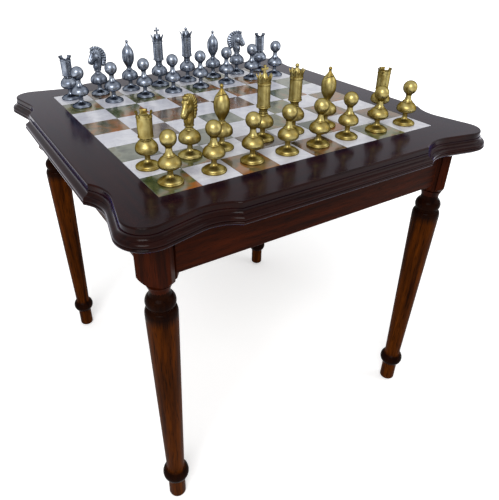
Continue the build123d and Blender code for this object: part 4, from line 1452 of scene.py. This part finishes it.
@dataclass
class Joinery:
    """The timber parts and their fittings, each with the grain its maker would choose."""

    bead_height: float = 456.4
    bead_half: float = 10.2
    ring_height: float = 63.0
    ring_half: float = 14.0
    # The legs are sprayed nearly black round the bead and on the ring.
    spray_past_bead: float = 11.0
    bead_fade: float = 16.0
    spray_inside_ring: float = 2.0
    ring_fade: float = 4.0
    block_above_bead: float = 8.0

    def dress(self, nodes: dict[str, bpy.types.Object]) -> None:
        """Gives each timber part its grain and each fitting its finish.

        Args:
            nodes: the nodes of the frame by name.
        """
        top, rail = {}, {}
        for grain in (Grain.ALONG_X, Grain.ALONG_Y):
            top[grain] = TOP_WOOD.build(f"mahogany_ebonised_grain_{grain.value}", grain)
            rail[grain] = RAIL_WOOD.build(f"mahogany_stained_grain_{grain.value}", grain)
        upper = (self.bead_height, self.bead_half + self.spray_past_bead, self.bead_fade)
        lower = (self.ring_height, self.ring_half - self.spray_inside_ring, self.ring_fade)
        shaft = SHAFT_WOOD.build("mahogany_open_grain_upright", Grain.UPRIGHT, (upper, lower))
        square = RAIL_WOOD.build("mahogany_stained_upright", Grain.UPRIGHT)
        timber = PlainTimber().build("timber_plain")
        zinc, glide = ZINC.build(), GLIDE.build()
        for name, node in nodes.items():
            grain = Grain.ALONG_X if name.endswith(("front", "back")) else Grain.ALONG_Y
            coats = {
                "leg": (shaft, square),
                "border": (top[grain],),
                "edge_moulding": (top[grain],),
                "corner_moulding": (top[Grain.ALONG_X],),
                "apron": (rail[grain],),
                "core_panel": (timber,),
                "corner_braces": (timber,),
                "hanger_bolts": (zinc,),
                "wing_nuts": (zinc,),
                "wood_screws": (zinc,),
                "foot_glides": (glide,),
            }
            for start, coat in coats.items():
                if name.startswith(start):
                    paint(node, *coat)
                    LOG.info("%s: %s", name, coat[0].name)
            if name.startswith("leg"):
                self.mark_block(node)

    def mark_block(self, node: bpy.types.Object) -> None:
        """Gives the square block of a leg its second finish.

        Args:
            node: the leg.
        """
        foot = (self.bead_height + self.bead_half + self.block_above_bead) * MM
        for face in node.data.polygons:
            face.material_index = 1 if face.center.z > foot else 0


# ---------------------------------------------------------------- studio


@dataclass
class Studio:
    """Plain pale floor, soft lamps, a white surround and the camera; lengths in metres."""

    camera_at: Triple = (-0.4686, -0.7761, 0.8923)
    look: Triple = (0.4326, 0.7302, -0.5289)
    lens: float = 35.77
    shift: Pair = (0.052, -0.029)
    roll: float = -0.3
    surround_light: float = 0.5
    floor_glow: float = 0.35
    glow_from: float = 0.35
    glow_to: float = 1.6
    floor_reach: float = 12.0

    def surround(self) -> None:
        """White to the eye and in reflections, plain soft light on the object."""
        world = bpy.data.worlds.new("surround")
        bpy.context.scene.world = world
        world.use_nodes = True
        graph = Graph(world.node_tree)
        level = graph.add("MapRange", graph.shown(), To_Min=self.surround_light)
        graph.add("OutputWorld", graph.add("Background", "#ffffff", level))

    def floor(self) -> None:
        """White paper floor that keeps a soft shadow near the legs and fades to plain white."""
        mesh = bpy.data.meshes.new("studio_floor")
        reach = self.floor_reach
        corners = [(-reach, -reach, 0), (reach, -reach, 0), (reach, reach, 0), (-reach, reach, 0)]
        mesh.from_pydata(corners, [], [(0, 1, 2, 3)])
        plane = bpy.data.objects.new("studio_floor", mesh)
        bpy.context.scene.collection.objects.link(plane)
        graph = Surface("floor_paper_white")
        place = graph.mapped((1000, 1000, math.inf))
        away = graph.add("VectorMath", place, operation="LENGTH")
        # Matt paper, flecked every 2.5 mm. Near the legs it glows a little, and further out it is
        # plain white.
        fleck = graph.add("TexNoise", graph.mapped((2.5,) * 3), Scale=1.0)
        glow = graph.add("MapRange", away, self.glow_from, self.glow_to, self.floor_glow, 1.0)
        paper = graph.finish(
            Base_Color=graph.add("ValToRGB", fleck, stops=((0.3, "#f6f6f6"), (0.7, "#fafafa"))),
            Roughness=0.9,
            Specular_IOR_Level=0.0,
            Emission_Color="#ffffff",
            Emission_Strength=graph.add("Math", glow, graph.shown(), operation="MULTIPLY"),
        )
        paint(plane, paper)

    def lamp(self, name: str, at: Triple, aim: Triple, side: float, power: float) -> None:
        """Adds one soft square lamp.

        Args:
            name: name of the lamp.
            at: where it stands.
            aim: point to which it is turned.
            side: length of its side.
            power: watts.
        """
        light = bpy.data.lights.new(name, "AREA")
        light.shape = "SQUARE"
        light.size = side
        light.energy = power
        made = bpy.data.objects.new(name, light)
        bpy.context.scene.collection.objects.link(made)
        made.location = at
        made.rotation_euler = (Vector(aim) - Vector(at)).to_track_quat("-Z", "Y").to_euler()

    def camera(self) -> None:
        """Sets the camera on the near left corner, above the board."""
        data = bpy.data.cameras.new("camera")
        data.lens = self.lens
        data.shift_x, data.shift_y = self.shift
        made = bpy.data.objects.new("camera", data)
        bpy.context.scene.collection.objects.link(made)
        made.location = self.camera_at
        turn = Vector(self.look).to_track_quat("-Z", "Y").to_matrix().to_4x4()
        turn = turn @ Matrix.Rotation(math.radians(self.roll), 4, "Z")
        made.rotation_euler = turn.to_euler()
        bpy.context.scene.camera = made

    def build(self) -> None:
        """Sets up everything round the object."""
        bpy.context.scene.view_settings.view_transform = "Standard"
        self.surround()
        self.floor()
        self.lamp("key", (-1.5, -1.7, 2.3), (0, 0, 0.5), 1.3, 52)
        self.lamp("fill", (1.9, -1.5, 1.7), (0, 0, 0.4), 1.4, 12)
        self.camera()


# Headings in degrees of the men that are not round, with 0 to the right.
FACING = {
    "gold_knight": 215.0,
    "silver_knight_left": 196.0,
    "silver_knight_right": 315.0,
    "gold_rook_left": 24.0,
    "gold_rook_right": 24.0,
    "silver_rook_left": 76.0,
    "silver_rook_right": 55.0,
    "gold_bishop_left": 270.0,
    "gold_bishop_right": 270.0,
    "silver_bishop_left": 90.0,
    "silver_bishop_right": 90.0,
}


def main() -> None:
    """Dresses the table, sets out the men and lights the scene."""
    logging.basicConfig(level=logging.INFO, format="%(name)s: %(message)s")
    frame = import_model()
    nodes = frame["nodes"]
    StoneBoard().dress(nodes)
    Joinery().dress(nodes)
    felt = FELT.build()
    sides = {
        "gold": Finish("satin_brass", BRASS.build(), felt),
        "silver": Finish("antique_pewter", PEWTER.build(), felt),
    }
    # Each man's base, bulb, height of the bulb, foot of the collar and collar, then his own sizes.
    kinds = {
        "gold_pawn": Pawn(17.9, 16.0, 26.5, 38.4, 8.2, ball=11.3),
        "silver_pawn": Pawn(17.9, 16.2, 27.0, 38.6, 8.0, ball=11.8, height=74.0),
        "gold_rook": Rook(18.2, 16.4, 27.0, 41.5, 8.4, tower=10.9, rim=12.2, depth=7.6, gap=7.2),
        "silver_rook": Rook(18.2, 16.4, 27.0, 41.5, 8.4, tower=10.2),
        "knight": Knight(18.2, 16.8, 27.0, 41.2, 7.4),
        "bishop": Bishop(18.4, 16.8, 26.0, 41.0, 6.4),
        "gold_king": King(crown=12.8),
        "silver_king": King(crown=14.6),
        "gold_queen": Queen(crown=12.8),
        "silver_queen": Queen(crown=14.6),
    }
    for name in sorted(nodes):
        side, _, rest = name.partition("_")
        if side in sides:
            kind = rest.split("_")[0]
            man = kinds.get(f"{side}_{kind}") or kinds[kind]
            man.place(name, nodes[name], sides[side], FACING.get(name, 0.0))
    Studio().build()


if __name__ == "__main__":
    main()
